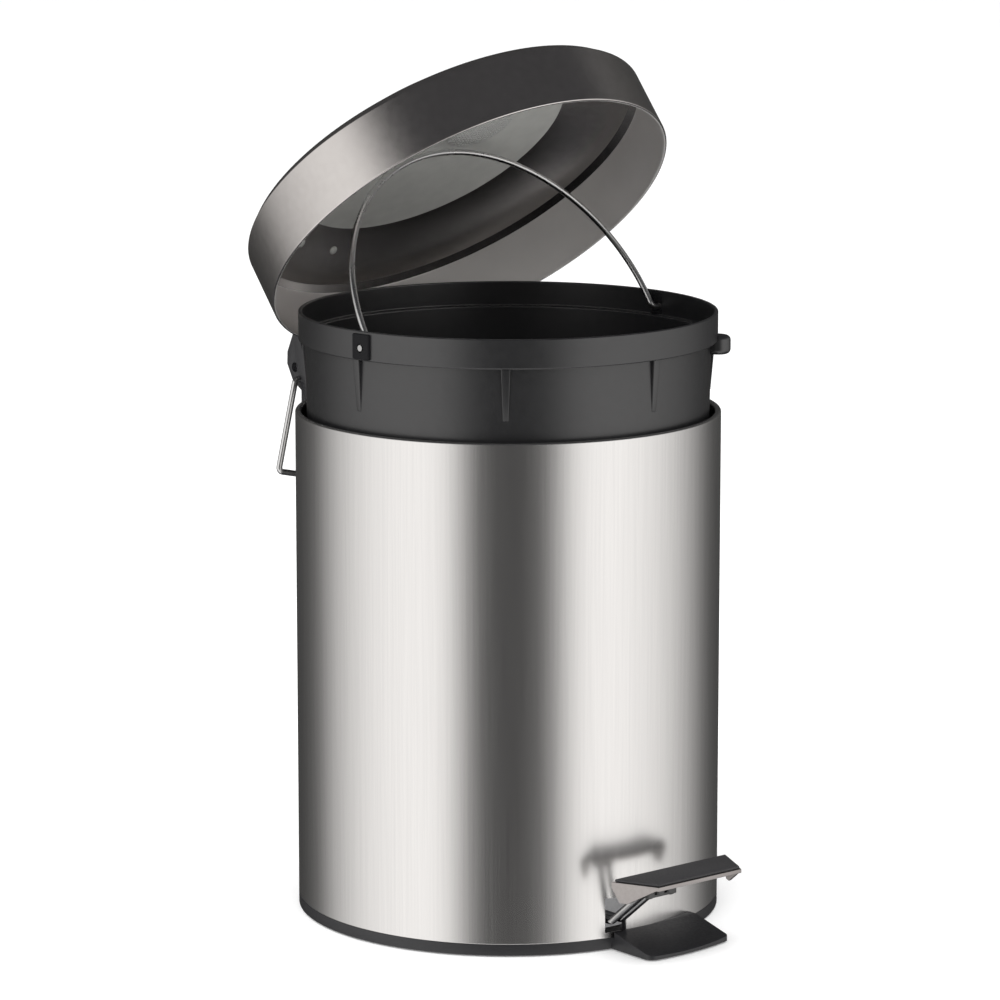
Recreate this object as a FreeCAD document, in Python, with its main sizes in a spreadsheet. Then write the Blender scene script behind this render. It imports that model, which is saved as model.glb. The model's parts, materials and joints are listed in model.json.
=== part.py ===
"""Three-litre pedal bin: steel body, hinged lid, pedal linkage, lift-out bucket.

Origin on the body's axis at floor level.  +Z up, the pedal faces -Y and the lid hinges at +Y.
The lid, bucket, bail and pedal are placed as they stand with the lid partly open.
"""
import FreeCAD, Part
import math
import os

import Sketcher

Vector = FreeCAD.Vector
Rotation = FreeCAD.Rotation
Placement = FreeCAD.Placement

# Driving dimensions, in millimetres and degrees.
DIMENSIONS = [
    ("body_radius", 85.0, "outside radius of the steel body"),
    ("body_wall", 0.7, "steel sheet of the body"),
    ("body_top", 202.6, "height of the body's rolled edge above the floor"),
    ("lip_width", 2.5, "how far the rolled edge turns inwards"),
    ("lip_depth", 2.4, "how far the rolled edge turns down"),
    ("fit_gap", 0.1, "clearance between pieces pressed together"),
    ("pad_height", 0.6, "rubber pads below the base ring"),
    ("pad_radius", 4.0, "radius of a rubber pad"),
    ("ring_top", 5.0, "height of the base ring's visible edge"),
    ("ring_web", 3.0, "top of the base ring's flat web"),
    ("web_width", 19.0, "base ring's web, inwards from the body's face"),
    ("collar_top", 14.0, "top of the collar inside the body"),
    ("collar_wall", 2.0, "thickness of that collar"),
    ("foot_left", 17.0, "front foot, left of the middle"),
    ("foot_right", 26.0, "front foot, right of the middle"),
    ("foot_out", 22.3, "front foot, from the body to its rounded front"),
    ("foot_heel", 7.4, "front foot's height at the body"),
    ("foot_toe", 1.9, "front foot's height at its tip"),
    ("pan_floor", 25.6, "underside of the steel base pan"),
    ("pan_sheet", 0.8, "steel sheet of the base pan"),
    ("pan_flange", 7.0, "height of the pan's upturned flange"),
    ("screw_radius", 1.4, "base screws' shank radius"),
    ("screw_head", 3.0, "base screws' head radius"),
    ("screw_inset", 13.0, "base screws, inwards from the body's face"),
    ("screw_head_height", 1.6, "height of the base screws' heads"),
    ("post_radius", 4.2, "posts of the base ring under the pan"),
    ("wire_radius", 1.5, "lever and rod wire"),
    ("lever_place", -15.0, "sideways place of the lever and the rod"),
    ("lever_spread", 5.0, "distance between the lever's two strands"),
    ("lever_height", 12.0, "height of the lever's long run"),
    ("slot_gap", 0.8, "room beside the lever in its slots"),
    ("pivot_back", 0.0, "lever pivot, behind the axis"),
    ("tube_radius", 2.6, "lever's pivot tube"),
    ("pivot_pin", 1.5, "radius of the lever's pivot pin"),
    ("running_gap", 0.05, "radial clearance of a pin in its hole"),
    ("hole_gap", 0.15, "radial clearance of rivets and screws in their holes"),
    ("bracket_sheet", 1.2, "steel sheet of the lever bracket"),
    ("bracket_width", 12.0, "lever bracket, front to back"),
    ("pedal_width", 60.0, "pedal, across its back edge"),
    ("pedal_nose", 43.0, "pedal, across its front edge"),
    ("pedal_out", 31.0, "pedal's front edge, from the body"),
    ("pedal_depth", 18.0, "pedal, front to back"),
    ("pedal_top", 32.8, "top of the pedal plate"),
    ("pedal_sheet", 1.2, "steel sheet of the pedal"),
    ("cheek_depth", 8.0, "depth of the pedal's side cheeks at the back"),
    ("cheek_toe", 0.3, "depth of those cheeks at the front"),
    ("pedal_rivet", 0.9, "radius of the pedal's rivets"),
    ("pedal_rivet_head", 1.6, "radius of their heads"),
    ("tread_height", 1.2, "rubber tread on the pedal"),
    ("tread_margin", 0.6, "steel showing around the tread"),
    ("rivet_radius", 1.2, "radius of the small rivets"),
    ("rivet_head", 2.4, "radius of their heads"),
    ("head_height", 0.8, "height of their heads"),
    ("rod_out", 4.0, "push rod, behind the body"),
    ("rod_foot_radius", 3.1, "plastic foot of the push rod"),
    ("rod_foot_height", 9.0, "height of that foot"),
    ("rod_foot_sole", 1.2, "its thickness below the rod"),
    ("contact_gap", 0.4, "play at each end of the push rod"),
    ("guide_height", 100.0, "height of the rod guide's middle"),
    ("guide_length", 14.0, "rod guide, top to bottom"),
    ("guide_width", 30.0, "rod guide, across"),
    ("guide_skin", 3.6, "rod guide behind the rod's middle"),
    ("guide_step", 2.6, "how much lower the guide's wings are"),
    ("guide_nose", 10.0, "width of the guide's nose"),
    ("guide_gap", 0.35, "clearance of the rod in its guides"),
    ("hinge_out", 12.75, "lid hinge, behind the body"),
    ("hinge_rise", 7.9, "lid hinge above the body's top"),
    ("hinge_pin", 2.0, "radius of the hinge pin"),
    ("hinge_width", 65.0, "hinge block, across"),
    ("ear_width", 5.8, "each ear of the hinge block"),
    ("block_skin", 4.5, "hinge block's plate behind the rod's middle"),
    ("block_drop", 18.6, "bottom of the hinge block below the body's top"),
    ("block_rivet_inset", 9.0, "hinge block's rivets from its sides"),
    ("block_rivet_low", 4.0, "lower rivets above the block's bottom"),
    ("block_rivet_high", 12.0, "upper rivets above the block's bottom"),
    ("nose_height", 14.5, "top of the hinge block's ears above the hinge"),
    ("knuckle_radius", 4.5, "knuckle of the lid's hinge arm"),
    ("push_arm", 9.25, "from the hinge pin to the push pin"),
    ("push_angle", 28.6, "how far the push pin hangs below level, lid closed"),
    ("lid_overhang", 1.3, "lid's skirt outside the body"),
    ("lid_sheet", 0.8, "steel sheet of the lid"),
    ("lid_rise", 8.5, "closed lid's rim above the body's top"),
    ("skirt_height", 25.3, "height of the lid's skirt"),
    ("shoulder_drop", 3.0, "height of the corner between skirt and shoulder"),
    ("shoulder_width", 27.6, "lid's flat top, inwards from its skirt"),
    ("crown_height", 40.0, "height of the lid's top above its rim"),
    ("bead_width", 1.3, "lid's rolled rim, across"),
    ("bead_height", 1.6, "lid's rolled rim, top to bottom"),
    ("strap_sheet", 1.2, "hinge arm's strap on the lid"),
    ("lid_open", 39.7, "how far the lid stands open"),
    ("lid_more", 17.6, "how much further it opens"),
    ("lid_rivet_turn", 11.3, "first lid rivet, round from the rear"),
    ("lid_rivet_next", 30.4, "second lid rivet, round from the rear"),
    ("lid_rivet_inset", 18.0, "lid rivets, inwards from the lid's skirt"),
    ("knuckle_width", 21.0, "width of the lid's knuckle"),
    ("disc_radius", 15.4, "thin round disc under the lid"),
    ("disc_across", 17.4, "its middle, sideways from the lid's middle"),
    ("disc_forward", 13.0, "its middle, in front of the lid's middle"),
    ("disc_height", 0.4, "its thickness"),
    ("bucket_follow", 0.566751, "how far the bucket rises for each degree of the lid"),
    ("bucket_rise", 17.3, "bucket's top edge above the body's, when it is down"),
    ("band_gap", 1.5, "bucket's rim band, inwards from the body's face"),
    ("band_height", 11.5, "height of the rim band"),
    ("wall_gap", 4.1, "bucket's wall, inwards from the body's face"),
    ("bucket_draft", 3.4, "how much narrower the wall is at the bottom"),
    ("bucket_wall", 1.5, "plastic wall of the bucket"),
    ("bucket_step", 3.0, "how far the bucket's middle floor is raised"),
    ("bucket_foot", 10.0, "width of the ring that the bucket stands on"),
    ("rib_count", 8, "ribs below the rim band"),
    ("rib_width", 3.6, "width of a rib"),
    ("rib_height", 20.5, "height of a rib"),
    ("lug_radius", 5.2, "round thumb lug on the band"),
    ("lug_height", 7.6, "height of the thumb lug"),
    ("lug_drop", 9.2, "top of the thumb lug below the bucket's top"),
    ("lug_out", 0.5, "thumb lug's middle, outwards from the band"),
    ("lug_angle", -45.0, "direction of the thumb lug"),
    ("bail_wire", 1.2, "radius of the bail's wire"),
    ("bail_inset", 5.2, "bail's legs, inwards from the bucket's band"),
    ("bail_height", 78.1, "bail's top above its pivots"),
    ("bail_bend", 2.4, "bend radius at the bail's feet"),
    ("bail_drop", 6.5, "bail's pivots below the bucket's top"),
    ("bail_turn", 4.4, "bail's axis, turned from straight across"),
    ("bail_forward", 4.7, "bail's axis, in front of the bucket's middle"),
    ("bail_ratio", 2.75315, "how far the bail turns for each degree of the lid"),
    ("bail_closed", 77.0, "how far forward the bail lies when the lid is closed"),
    ("boss_width", 9.0, "square boss around each bail hole"),
    ("boss_out", 0.6, "outer face of those bosses, outside the band"),
    ("handle_wire", 1.25, "radius of the rear handle's wire"),
    ("handle_out", 10.0, "rear handle's pivots, behind the body"),
    ("handle_rise", 3.4, "height of those pivots above the body's top"),
    ("handle_side", 1.8, "handle's legs beside the hinge block"),
    ("handle_flare", 9.1, "how far each leg leans outwards"),
    ("handle_drop", 37.3, "rear handle's corners below its pivots"),
    ("handle_sag", 6.7, "how far its grip bows down between the corners"),
    ("handle_bend", 5.0, "bend radius at its corners"),
]

doc = FreeCAD.newDocument("PedalBin")
sheet = doc.addObject("Spreadsheet::Sheet", "Sizes")
for row, (name, value, note) in enumerate(DIMENSIONS, start=1):
    sheet.set(f"A{row}", note)
    sheet.set(f"B{row}", str(value))
    sheet.setAlias(f"B{row}", name)
doc.recompute()


class Size:
    """A length or angle that carries its number and the sheet formula behind it."""

    def __init__(self, value, text):
        self.value = float(value)
        self.text = text

    def __add__(self, other):
        other = as_size(other)
        return Size(self.value + other.value, f"({self.text} + {other.text})")

    def __sub__(self, other):
        other = as_size(other)
        return Size(self.value - other.value, f"({self.text} - {other.text})")

    def __mul__(self, other):
        other = as_size(other)
        return Size(self.value * other.value, f"({self.text} * {other.text})")

    def __truediv__(self, other):
        other = as_size(other)
        return Size(self.value / other.value, f"({self.text} / {other.text})")

    def __neg__(self):
        return Size(-self.value, f"(0 - {self.text})")

    __radd__ = __add__

    def __rsub__(self, other):
        return as_size(other) - self


def as_size(number):
    """A Size for a plain number, or the Size itself."""
    if isinstance(number, Size):
        return number
    return Size(number, f"{number:.6f}")


def sine(angle):
    """The sine of an angle in degrees."""
    return Size(math.sin(math.radians(angle.value)), f"sin({angle.text})")


class Named:
    """Every driving dimension as an attribute holding its Size."""

    def __init__(self, rows):
        for name, value, note in rows:
            setattr(self, name, Size(value, f"Sizes.{name}"))


s = Named(DIMENSIONS)
nodes = {}

# ---------------------------------------------------------------- places shared by several pieces
# The lid, the bucket, the hinge, the linkage and the base all follow the body's own size.
body_inner = s.body_radius - s.body_wall
ring_inner = s.body_radius - s.web_width
screw_circle = s.body_radius - s.screw_inset
foot_reach = s.body_radius + s.foot_out
pedal_front = s.body_radius + s.pedal_out
rod_back = s.body_radius + s.rod_out
guide_back = rod_back + s.guide_skin
block_back = rod_back + s.block_skin
block_foot = s.body_top - s.block_drop
hinge_back = s.body_radius + s.hinge_out
hinge_height = s.body_top + s.hinge_rise
lid_radius = s.body_radius + s.lid_overhang
lid_rim = s.body_top + s.lid_rise
crown_radius = lid_radius - s.shoulder_width
bucket_top = s.body_top + s.bucket_rise
bucket_lift = s.lid_open * s.bucket_follow
bucket_band = s.body_radius - s.band_gap
bucket_radius = s.body_radius - s.wall_gap
lug_reach = bucket_band + s.lug_out
bail_reach = bucket_band - s.bail_inset
boss_reach = bucket_band + s.boss_out
handle_back = s.body_radius + s.handle_out
handle_height = s.body_top + s.handle_rise


def bind(item, prop, size):
    """Ties one property to the sheet."""
    size = as_size(size)
    item.setExpression(prop, size.text)


def place(item, x=0, y=0, z=0, rotation=None):
    """Turns an object and ties its position to the sheet."""
    if rotation is not None:
        item.Placement = Placement(Vector(), rotation)
    for letter, size in (("x", x), ("y", y), ("z", z)):
        bind(item, f"Placement.Base.{letter}", size)


def finish(item, node):
    """Gives a finished sub-part its label and enters it in the list of nodes."""
    item.Label = node
    nodes[node] = item
    return item


ALONG = {
    "x": Rotation(Vector(0, 1, 0), 90),
    "y": Rotation(Vector(1, 0, 0), -90),
    "z": Rotation(),
}


def cylinder(name, radius, length, x, y, z, along="z"):
    """A round bar that starts at a point and runs along an axis."""
    item = doc.addObject("Part::Cylinder", name)
    bind(item, "Radius", radius)
    bind(item, "Height", length)
    place(item, x, y, z, ALONG[along])
    return item


def box(name, x, y, z):
    """A block between two limits along each axis."""
    item = doc.addObject("Part::Box", name)
    for prop, limits in (("Length", x), ("Width", y), ("Height", z)):
        bind(item, prop, as_size(limits[1]) - limits[0])
    place(item, x[0], y[0], z[0])
    return item


def fuse(name, pieces):
    """Joins overlapping pieces into one solid."""
    item = doc.addObject("Part::MultiFuse", name)
    item.Shapes = pieces
    item.Refine = True
    return item


def group(name, pieces):
    """Keeps like pieces together as separate solids."""
    item = doc.addObject("Part::Compound", name)
    item.Links = pieces
    return item


def cut(name, base, tools):
    """Takes tools away from a base."""
    tool = tools[0]
    if len(tools) > 1:
        tool = group(f"{name}_tools", tools)
    item = doc.addObject("Part::Cut", name)
    item.Base = base
    item.Tool = tool
    return item


def new_body(name):
    """An empty PartDesign body."""
    return doc.addObject("PartDesign::Body", name)


def sketch_on(body, role, name):
    """A sketch on one of the body's own origin planes."""
    sketch = body.newObject("Sketcher::SketchObject", name)
    plane = [item for item in body.Origin.OriginFeatures if item.Role == role][0]
    sketch.AttachmentSupport = [(plane, "")]
    sketch.MapMode = "FlatFace"
    return sketch


def tie(sketch, kind, geo, pos, size):
    """Fixes a point's distance from the sketch's origin along one direction."""
    if abs(size.value) < 1e-9:
        axis = -2 if kind == "DistanceX" else -1
        sketch.addConstraint(Sketcher.Constraint("PointOnObject", geo, pos, axis))
        return
    number = sketch.addConstraint(Sketcher.Constraint(kind, -1, 1, geo, pos, size.value))
    sketch.setExpression(f"Constraints[{number}]", size.text)


def outline(sketch, points):
    """A closed outline of straight lines through the given corners."""
    corners = [(as_size(u), as_size(v)) for u, v in points]
    count = len(corners)
    for index in range(count):
        here = corners[index]
        there = corners[(index + 1) % count]
        start = Vector(here[0].value, here[1].value, 0)
        end = Vector(there[0].value, there[1].value, 0)
        sketch.addGeometry(Part.LineSegment(start, end), False)
    for index in range(count):
        joined = (index + 1) % count
        sketch.addConstraint(Sketcher.Constraint("Coincident", index, 2, joined, 1))
    for index, (u, v) in enumerate(corners):
        tie(sketch, "DistanceX", index, 1, u)
        tie(sketch, "DistanceY", index, 1, v)


def revolve(body, points, name="Turning", angle=360.0, start=0.0):
    """Turns an outline of (radius, height) corners about the upright axis."""
    sketch = sketch_on(body, "XZ_Plane", f"{name}Outline")
    sketch.AttachmentOffset = Placement(Vector(), Rotation(Vector(0, 1, 0), start))
    outline(sketch, points)
    feature = body.newObject("PartDesign::Revolution", name)
    feature.Profile = sketch
    feature.ReferenceAxis = (sketch, ["V_Axis"])
    feature.Angle = angle
    return feature


def pad(body, role, points, length, name="Pad", both_ways=False):
    """Thickens an outline that lies on one of the body's planes."""
    sketch = sketch_on(body, role, f"{name}Outline")
    outline(sketch, points)
    feature = body.newObject("PartDesign::Pad", name)
    feature.Profile = sketch
    bind(feature, "Length", length)
    feature.Midplane = both_ways
    return feature


def side_prism(name, points, x_low, x_high):
    """A body with an outline of (back, height) corners, run across from side to side."""
    body = new_body(name)
    pad(body, "YZ_Plane", points, as_size(x_high) - x_low)
    place(body, x_low)
    return body


def turned_body(name, points):
    """A body of revolution about the upright axis."""
    body = new_body(name)
    revolve(body, points)
    return body


def bent_wire(path_edges, radius):
    """A round wire that follows lines and tangent arcs."""
    path = Part.Wire(path_edges)
    start = path_edges[0].valueAt(path_edges[0].FirstParameter)
    tangent = path_edges[0].tangentAt(path_edges[0].FirstParameter)
    ring = Part.Wire(Part.Circle(start, tangent, radius).toShape())
    return path.makePipeShell([ring], True, False)


def rounded_path(points, bend):
    """Straight runs through the points, joined by tangent arcs of one radius."""
    edges = []
    here = points[0]
    for index in range(1, len(points) - 1):
        corner = points[index]
        back = (points[index - 1] - corner).normalize()
        ahead = (points[index + 1] - corner).normalize()
        half = back.getAngle(ahead) / 2
        reach = bend / math.tan(half)
        first = corner + back * reach
        last = corner + ahead * reach
        middle = (back + ahead).normalize()
        centre = corner + middle * (bend / math.sin(half))
        edges.append(Part.LineSegment(here, first).toShape())
        edges.append(Part.Arc(first, centre - middle * bend, last).toShape())
        here = last
    edges.append(Part.LineSegment(here, points[-1]).toShape())
    return edges


def feature(name, shape):
    """An object that holds a shape made directly."""
    item = doc.addObject("Part::Feature", name)
    item.Shape = shape
    return item


# ---------------------------------------------------------------- the linkage's own places
closed_bucket_floor = s.pan_floor + s.pan_sheet + s.contact_gap
lever_left = s.lever_place - s.lever_spread / 2
lever_right = s.lever_place + s.lever_spread / 2
slot_left = lever_left - s.wire_radius - s.slot_gap
slot_right = lever_right + s.wire_radius + s.slot_gap
pivot_height = s.lever_height - s.wire_radius - s.tube_radius
hinge_point = Vector(0, hinge_back.value, hinge_height.value)
half_hinge = s.hinge_width / 2
opened = Placement(Vector(), Rotation(Vector(-1, 0, 0), s.lid_open.value), hinge_point)

# The push pin's travel sets how far the lever swings, in radians, between the closed and the
# fully open lid, and the swing sets the height of the slots.
rest_turn = s.lid_open - s.push_angle
rear_reach = rod_back - s.pivot_back
front_reach = s.body_radius + s.pivot_back
lever_rise = s.push_arm * (sine(rest_turn) + sine(s.push_angle)) / rear_reach
lever_fall = s.push_arm * (sine(rest_turn + s.lid_more) - sine(rest_turn)) / rear_reach
slot_roof = s.lever_height + front_reach * lever_rise + s.wire_radius + s.slot_gap * 2
slot_sill = s.lever_height - front_reach * lever_fall - s.wire_radius - s.slot_gap
rear_roof = s.lever_height + rear_reach * lever_fall + s.wire_radius + s.slot_gap
rear_sill = s.lever_height - rear_reach * lever_rise - s.wire_radius - s.slot_gap


def rivet_along_y(name, x, y, z, grip):
    """A rivet through a rear wall, with a head at each end."""
    shank = cylinder(f"{name}_shank", s.rivet_radius, grip, x, y, z, "y")
    outer = cylinder(f"{name}_outer", s.rivet_head, s.head_height, x, y + grip, z, "y")
    inner = cylinder(f"{name}_inner", s.rivet_head, s.head_height, x, y - s.head_height, z, "y")
    return fuse(name, [shank, outer, inner])


def shell_back(x):
    """How far back the body's inner face lies at a sideways place."""
    x = as_size(x)
    depth = math.sqrt(body_inner.value ** 2 - x.value ** 2)
    return Size(depth, f"sqrt({body_inner.text} * {body_inner.text} - {x.text} * {x.text})")


def head_seat(x):
    """Where a flat rivet head meets the curved inside of the body."""
    x = as_size(x)
    if x.value < 0:
        return shell_back(x - s.rivet_head)
    return shell_back(x + s.rivet_head)


# ---------------------------------------------------------------- body
# A rolled steel tube with its top edge turned in and down.  The pedal lever passes through a
# slot at the front and the lever's tail through one at the back.
lip_inner = s.body_radius - s.lip_width
tube = turned_body("body_tube", [
    (s.body_radius, s.ring_top),
    (s.body_radius, s.body_top),
    (lip_inner, s.body_top),
    (lip_inner, s.body_top - s.lip_depth),
    (lip_inner + s.body_wall, s.body_top - s.lip_depth),
    (lip_inner + s.body_wall, s.body_top - s.body_wall),
    (body_inner, s.body_top - s.body_wall),
    (body_inner, s.ring_top),
])
block_rivet_places = [(x, z) for x in (-half_hinge + s.block_rivet_inset,
                                  half_hinge - s.block_rivet_inset)
                        for z in (block_foot + s.block_rivet_low,
                                  block_foot + s.block_rivet_high)]
guide_rivet_places = [(s.lever_place - s.guide_width / 2 + 4, s.guide_height),
                      (s.lever_place + s.guide_width / 2 - 4, s.guide_height)]
rivet_hole = s.rivet_radius + s.hole_gap
hole_start = s.body_radius * 0.75
hole_reach = s.body_radius / 2
shell_cuts = [
    box("front_slot", (slot_left, slot_right), (-s.body_radius - 1, -s.body_radius / 2),
        (slot_sill, slot_roof)),
    box("rear_slot", (slot_left, slot_right), (s.body_radius / 2, s.body_radius + 1),
        (rear_sill, rear_roof)),
]
for number, (x, z) in enumerate(block_rivet_places + guide_rivet_places):
    shell_cuts.append(cylinder(f"shell_hole_{number}", rivet_hole, hole_reach, x, hole_start, z,
                               "y"))
finish(cut("shell_with_holes", tube, shell_cuts), "body_shell")

# ---------------------------------------------------------------- base ring with its front foot
# One plastic moulding: the visible edge, a collar up inside the body, a web underneath with
# four screw posts, and the foot that keeps the bin from tipping when the pedal is pressed.
collar_outer = body_inner - s.fit_gap
collar_inner = collar_outer - s.collar_wall
ring = turned_body("ring_profile", [
    (s.body_radius, s.pad_height),
    (s.body_radius, s.ring_top),
    (collar_outer, s.ring_top),
    (collar_outer, s.collar_top),
    (collar_inner, s.collar_top),
    (collar_inner, s.ring_web),
    (ring_inner, s.ring_web),
    (ring_inner, s.pad_height),
])
foot_root = s.body_radius - 8
foot = side_prism("foot_block", [
    (-foot_root, s.pad_height),
    (-foot_reach, s.pad_height),
    (-foot_reach, s.foot_toe),
    (-s.body_radius, s.foot_heel),
    (-foot_root, s.foot_heel),
], -s.foot_left, s.foot_right)
foot_front = doc.addObject("Part::MultiCommon", "foot_front")
foot_front.Shapes = [foot, cylinder("foot_arc", foot_reach, s.foot_heel, 0, 0, s.pad_height)]
foot_trim = cylinder("foot_trim", s.body_radius - 0.02, s.foot_heel, 0, 0, s.ring_top)
foot_inner = cylinder("foot_inner", collar_inner, s.foot_heel, 0, 0, s.ring_web)
foot_shaped = cut("foot_shaped", foot_front, [foot_trim, foot_inner])
foot_round = doc.addObject("Part::Fillet", "foot_rounded")
foot_round.Base = foot_shaped
doc.recompute()


def foot_corner_edges(shape):
    """The upright edges at the foot's two front corners."""
    picked = []
    for number, edge in enumerate(shape.Edges, start=1):
        size = edge.BoundBox
        upright = size.ZLength > 0.8 and size.XLength < 0.01 and size.YLength < 0.01
        if upright and size.YMin < -s.body_radius.value - s.foot_out.value / 2:
            bend = 4.0 if size.XMin < 0 else 2.0
            picked.append((number, bend, bend))
    return picked


foot_round.Edges = foot_corner_edges(foot_shaped.Shape)
posts = []
post_holes = []
for number in range(4):
    angle = math.radians(45 + 90 * number)
    x = screw_circle * math.cos(angle)
    y = screw_circle * math.sin(angle)
    posts.append(cylinder(f"post_{number}", s.post_radius, s.pan_floor - s.pad_height, x, y,
                          s.pad_height))
    post_holes.append(cylinder(f"post_hole_{number}", s.screw_radius + s.hole_gap,
                               s.pan_floor + 1, x, y, s.pad_height - 1))
    post_holes.append(cylinder(f"post_sink_{number}", s.screw_head + s.hole_gap, s.ring_web, x, y,
                               s.pad_height - 1))
ring_cuts = post_holes + [
    box("ring_front_notch", (slot_left, slot_right), (-s.body_radius, -s.body_radius + 12),
        (s.ring_top, s.collar_top + 1)),
    box("ring_rear_notch", (slot_left, slot_right), (s.body_radius - 12, s.body_radius + 1),
        (rear_sill, s.collar_top + 1)),
]
ring_blank = fuse("ring_blank", [ring, foot_round] + posts)
finish(cut("ring_cut", ring_blank, ring_cuts), "base_ring")

# ---------------------------------------------------------------- pads and screws under the base
pads = []
screws = []
pad_circle = (s.body_radius + collar_inner) / 2 - 4
for number in range(4):
    angle = math.radians(20 + 90 * number)
    pads.append(cylinder(f"pad_{number}", s.pad_radius, s.pad_height,
                         pad_circle * math.cos(angle), pad_circle * math.sin(angle), 0))
    angle = math.radians(45 + 90 * number)
    x = screw_circle * math.cos(angle)
    y = screw_circle * math.sin(angle)
    head_top = s.ring_web - 1 + s.pad_height
    head = cylinder(f"screw_head_{number}", s.screw_head, s.screw_head_height, x, y,
                    head_top - s.screw_head_height)
    shank = cylinder(f"screw_shank_{number}", s.screw_radius,
                     s.pan_floor + s.pan_sheet - head_top, x, y, head_top)
    screws.append(fuse(f"screw_{number}", [head, shank]))
finish(group("pad_group", pads), "rubber_feet")
finish(group("screw_group", screws), "base_screws")

# ---------------------------------------------------------------- base pan
# A pressed steel dish that closes the body above the lever and carries the bucket.
pan_outer = body_inner - s.fit_gap
pan = turned_body("pan_profile", [
    (0, s.pan_floor),
    (pan_outer, s.pan_floor),
    (pan_outer, s.pan_floor + s.pan_flange),
    (pan_outer - s.pan_sheet, s.pan_floor + s.pan_flange),
    (pan_outer - s.pan_sheet, s.pan_floor + s.pan_sheet),
    (0, s.pan_floor + s.pan_sheet),
])
bracket_front = s.pivot_back - s.bracket_width / 2
bracket_back = s.pivot_back + s.bracket_width / 2
ear_inner = s.lever_spread / 2 + s.wire_radius + s.slot_gap * 1.5
bracket_flange = 9.0
rivet_offset = ear_inner + s.bracket_sheet + bracket_flange / 2
bracket_rivet_x = (s.lever_place - rivet_offset, s.lever_place + rivet_offset)
pan_holes = []
for number in range(4):
    angle = math.radians(45 + 90 * number)
    pan_holes.append(cylinder(f"pan_hole_{number}", s.screw_radius + s.hole_gap, 4,
                              screw_circle * math.cos(angle), screw_circle * math.sin(angle),
                              s.pan_floor - 1))
for number, x in enumerate(bracket_rivet_x):
    pan_holes.append(cylinder(f"pan_rivet_hole_{number}", rivet_hole, 4, x, s.pivot_back,
                              s.pan_floor - 1))
finish(cut("pan_cut", pan, pan_holes), "base_pan")

# ---------------------------------------------------------------- lever bracket, rivets and pivot pin
ear_foot = pivot_height - s.pivot_pin - 2
bracket_top = s.pan_floor
flange_low = bracket_top - s.bracket_sheet
ears = []
for sign, name in ((-1, "left"), (1, "right")):
    inner = s.lever_place + ear_inner * sign
    outer = s.lever_place + (ear_inner + s.bracket_sheet) * sign
    tip = s.lever_place + (ear_inner + s.bracket_sheet + bracket_flange) * sign
    ear_x = (outer, inner) if sign < 0 else (inner, outer)
    tip_x = (tip, inner) if sign < 0 else (inner, tip)
    ears.append(box(f"ear_{name}", ear_x, (bracket_front, bracket_back), (ear_foot, bracket_top)))
    ears.append(box(f"flange_{name}", tip_x, (bracket_front, bracket_back),
                    (flange_low, bracket_top)))
bridge = box("bracket_bridge", (s.lever_place - ear_inner, s.lever_place + ear_inner),
             (bracket_front, bracket_back), (flange_low, bracket_top))
bracket_blank = fuse("bracket_blank", ears + [bridge])
pin_length = (ear_inner + s.bracket_sheet) * 2
bracket_holes = [cylinder("bracket_bore", s.pivot_pin + s.running_gap, pin_length + 4,
                          s.lever_place - ear_inner - s.bracket_sheet - 2, s.pivot_back,
                          pivot_height, "x")]
for number, x in enumerate(bracket_rivet_x):
    bracket_holes.append(cylinder(f"bracket_rivet_hole_{number}", rivet_hole, 4, x, s.pivot_back,
                                  flange_low - 1))
finish(cut("bracket_cut", bracket_blank, bracket_holes), "lever_bracket")

bracket_rivets = []
for number, x in enumerate(bracket_rivet_x):
    grip = s.bracket_sheet + s.pan_sheet
    shank = cylinder(f"lever_rivet_shank_{number}", s.rivet_radius, grip, x, s.pivot_back,
                     flange_low)
    low = cylinder(f"lever_rivet_low_{number}", s.rivet_head, s.head_height, x, s.pivot_back,
                   flange_low - s.head_height)
    high = cylinder(f"lever_rivet_high_{number}", s.rivet_head, s.head_height, x, s.pivot_back,
                    flange_low + grip)
    bracket_rivets.append(fuse(f"lever_rivet_{number}", [shank, low, high]))
finish(group("lever_rivet_group", bracket_rivets), "bracket_rivets")

pin_shank = cylinder("pivot_pin_shank", s.pivot_pin, pin_length, s.lever_place - pin_length / 2,
                     s.pivot_back, pivot_height, "x")
pin_heads = [cylinder("pivot_pin_left", s.pivot_pin + 1, 1, s.lever_place - pin_length / 2 - 1,
                      s.pivot_back, pivot_height, "x"),
             cylinder("pivot_pin_right", s.pivot_pin + 1, 1, s.lever_place + pin_length / 2,
                      s.pivot_back, pivot_height, "x")]
finish(fuse("pivot_pin_whole", [pin_shank] + pin_heads), "lever_pin")

# ---------------------------------------------------------------- pedal lever
# One steel wire bent into a long hairpin.  Its closed end lifts the rod behind the body, and
# its two ends come out at the front, climb and lie flat under the pedal.
wire = s.wire_radius.value
clamp_height = s.pedal_top.value - s.pedal_sheet.value - wire
lever_low = s.lever_height.value
strand_front = [
    Vector(0, -pedal_front.value + 3, clamp_height),
    Vector(0, -pedal_front.value + 9.9, clamp_height),
    Vector(0, -s.body_radius.value + 1, lever_low),
]
tail = rod_back.value + 2
loop_radius = s.lever_spread.value / 2
LEVER_BEND = 3.0


def lever_path():
    """The hairpin's middle line, from one end under the pedal round to the other."""
    left = Vector(lever_left.value, 0, 0)
    right = Vector(lever_right.value, 0, 0)
    straight_end = Vector(0, tail - loop_radius, lever_low)
    first = rounded_path([left + point for point in strand_front] + [left + straight_end],
                         LEVER_BEND)
    second = rounded_path([right + straight_end] +
                          [right + point for point in reversed(strand_front)], LEVER_BEND)
    far = Vector(s.lever_place.value, tail, lever_low)
    loop = Part.Arc(left + straight_end, far, right + straight_end).toShape()
    return first + [loop] + second


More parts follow.
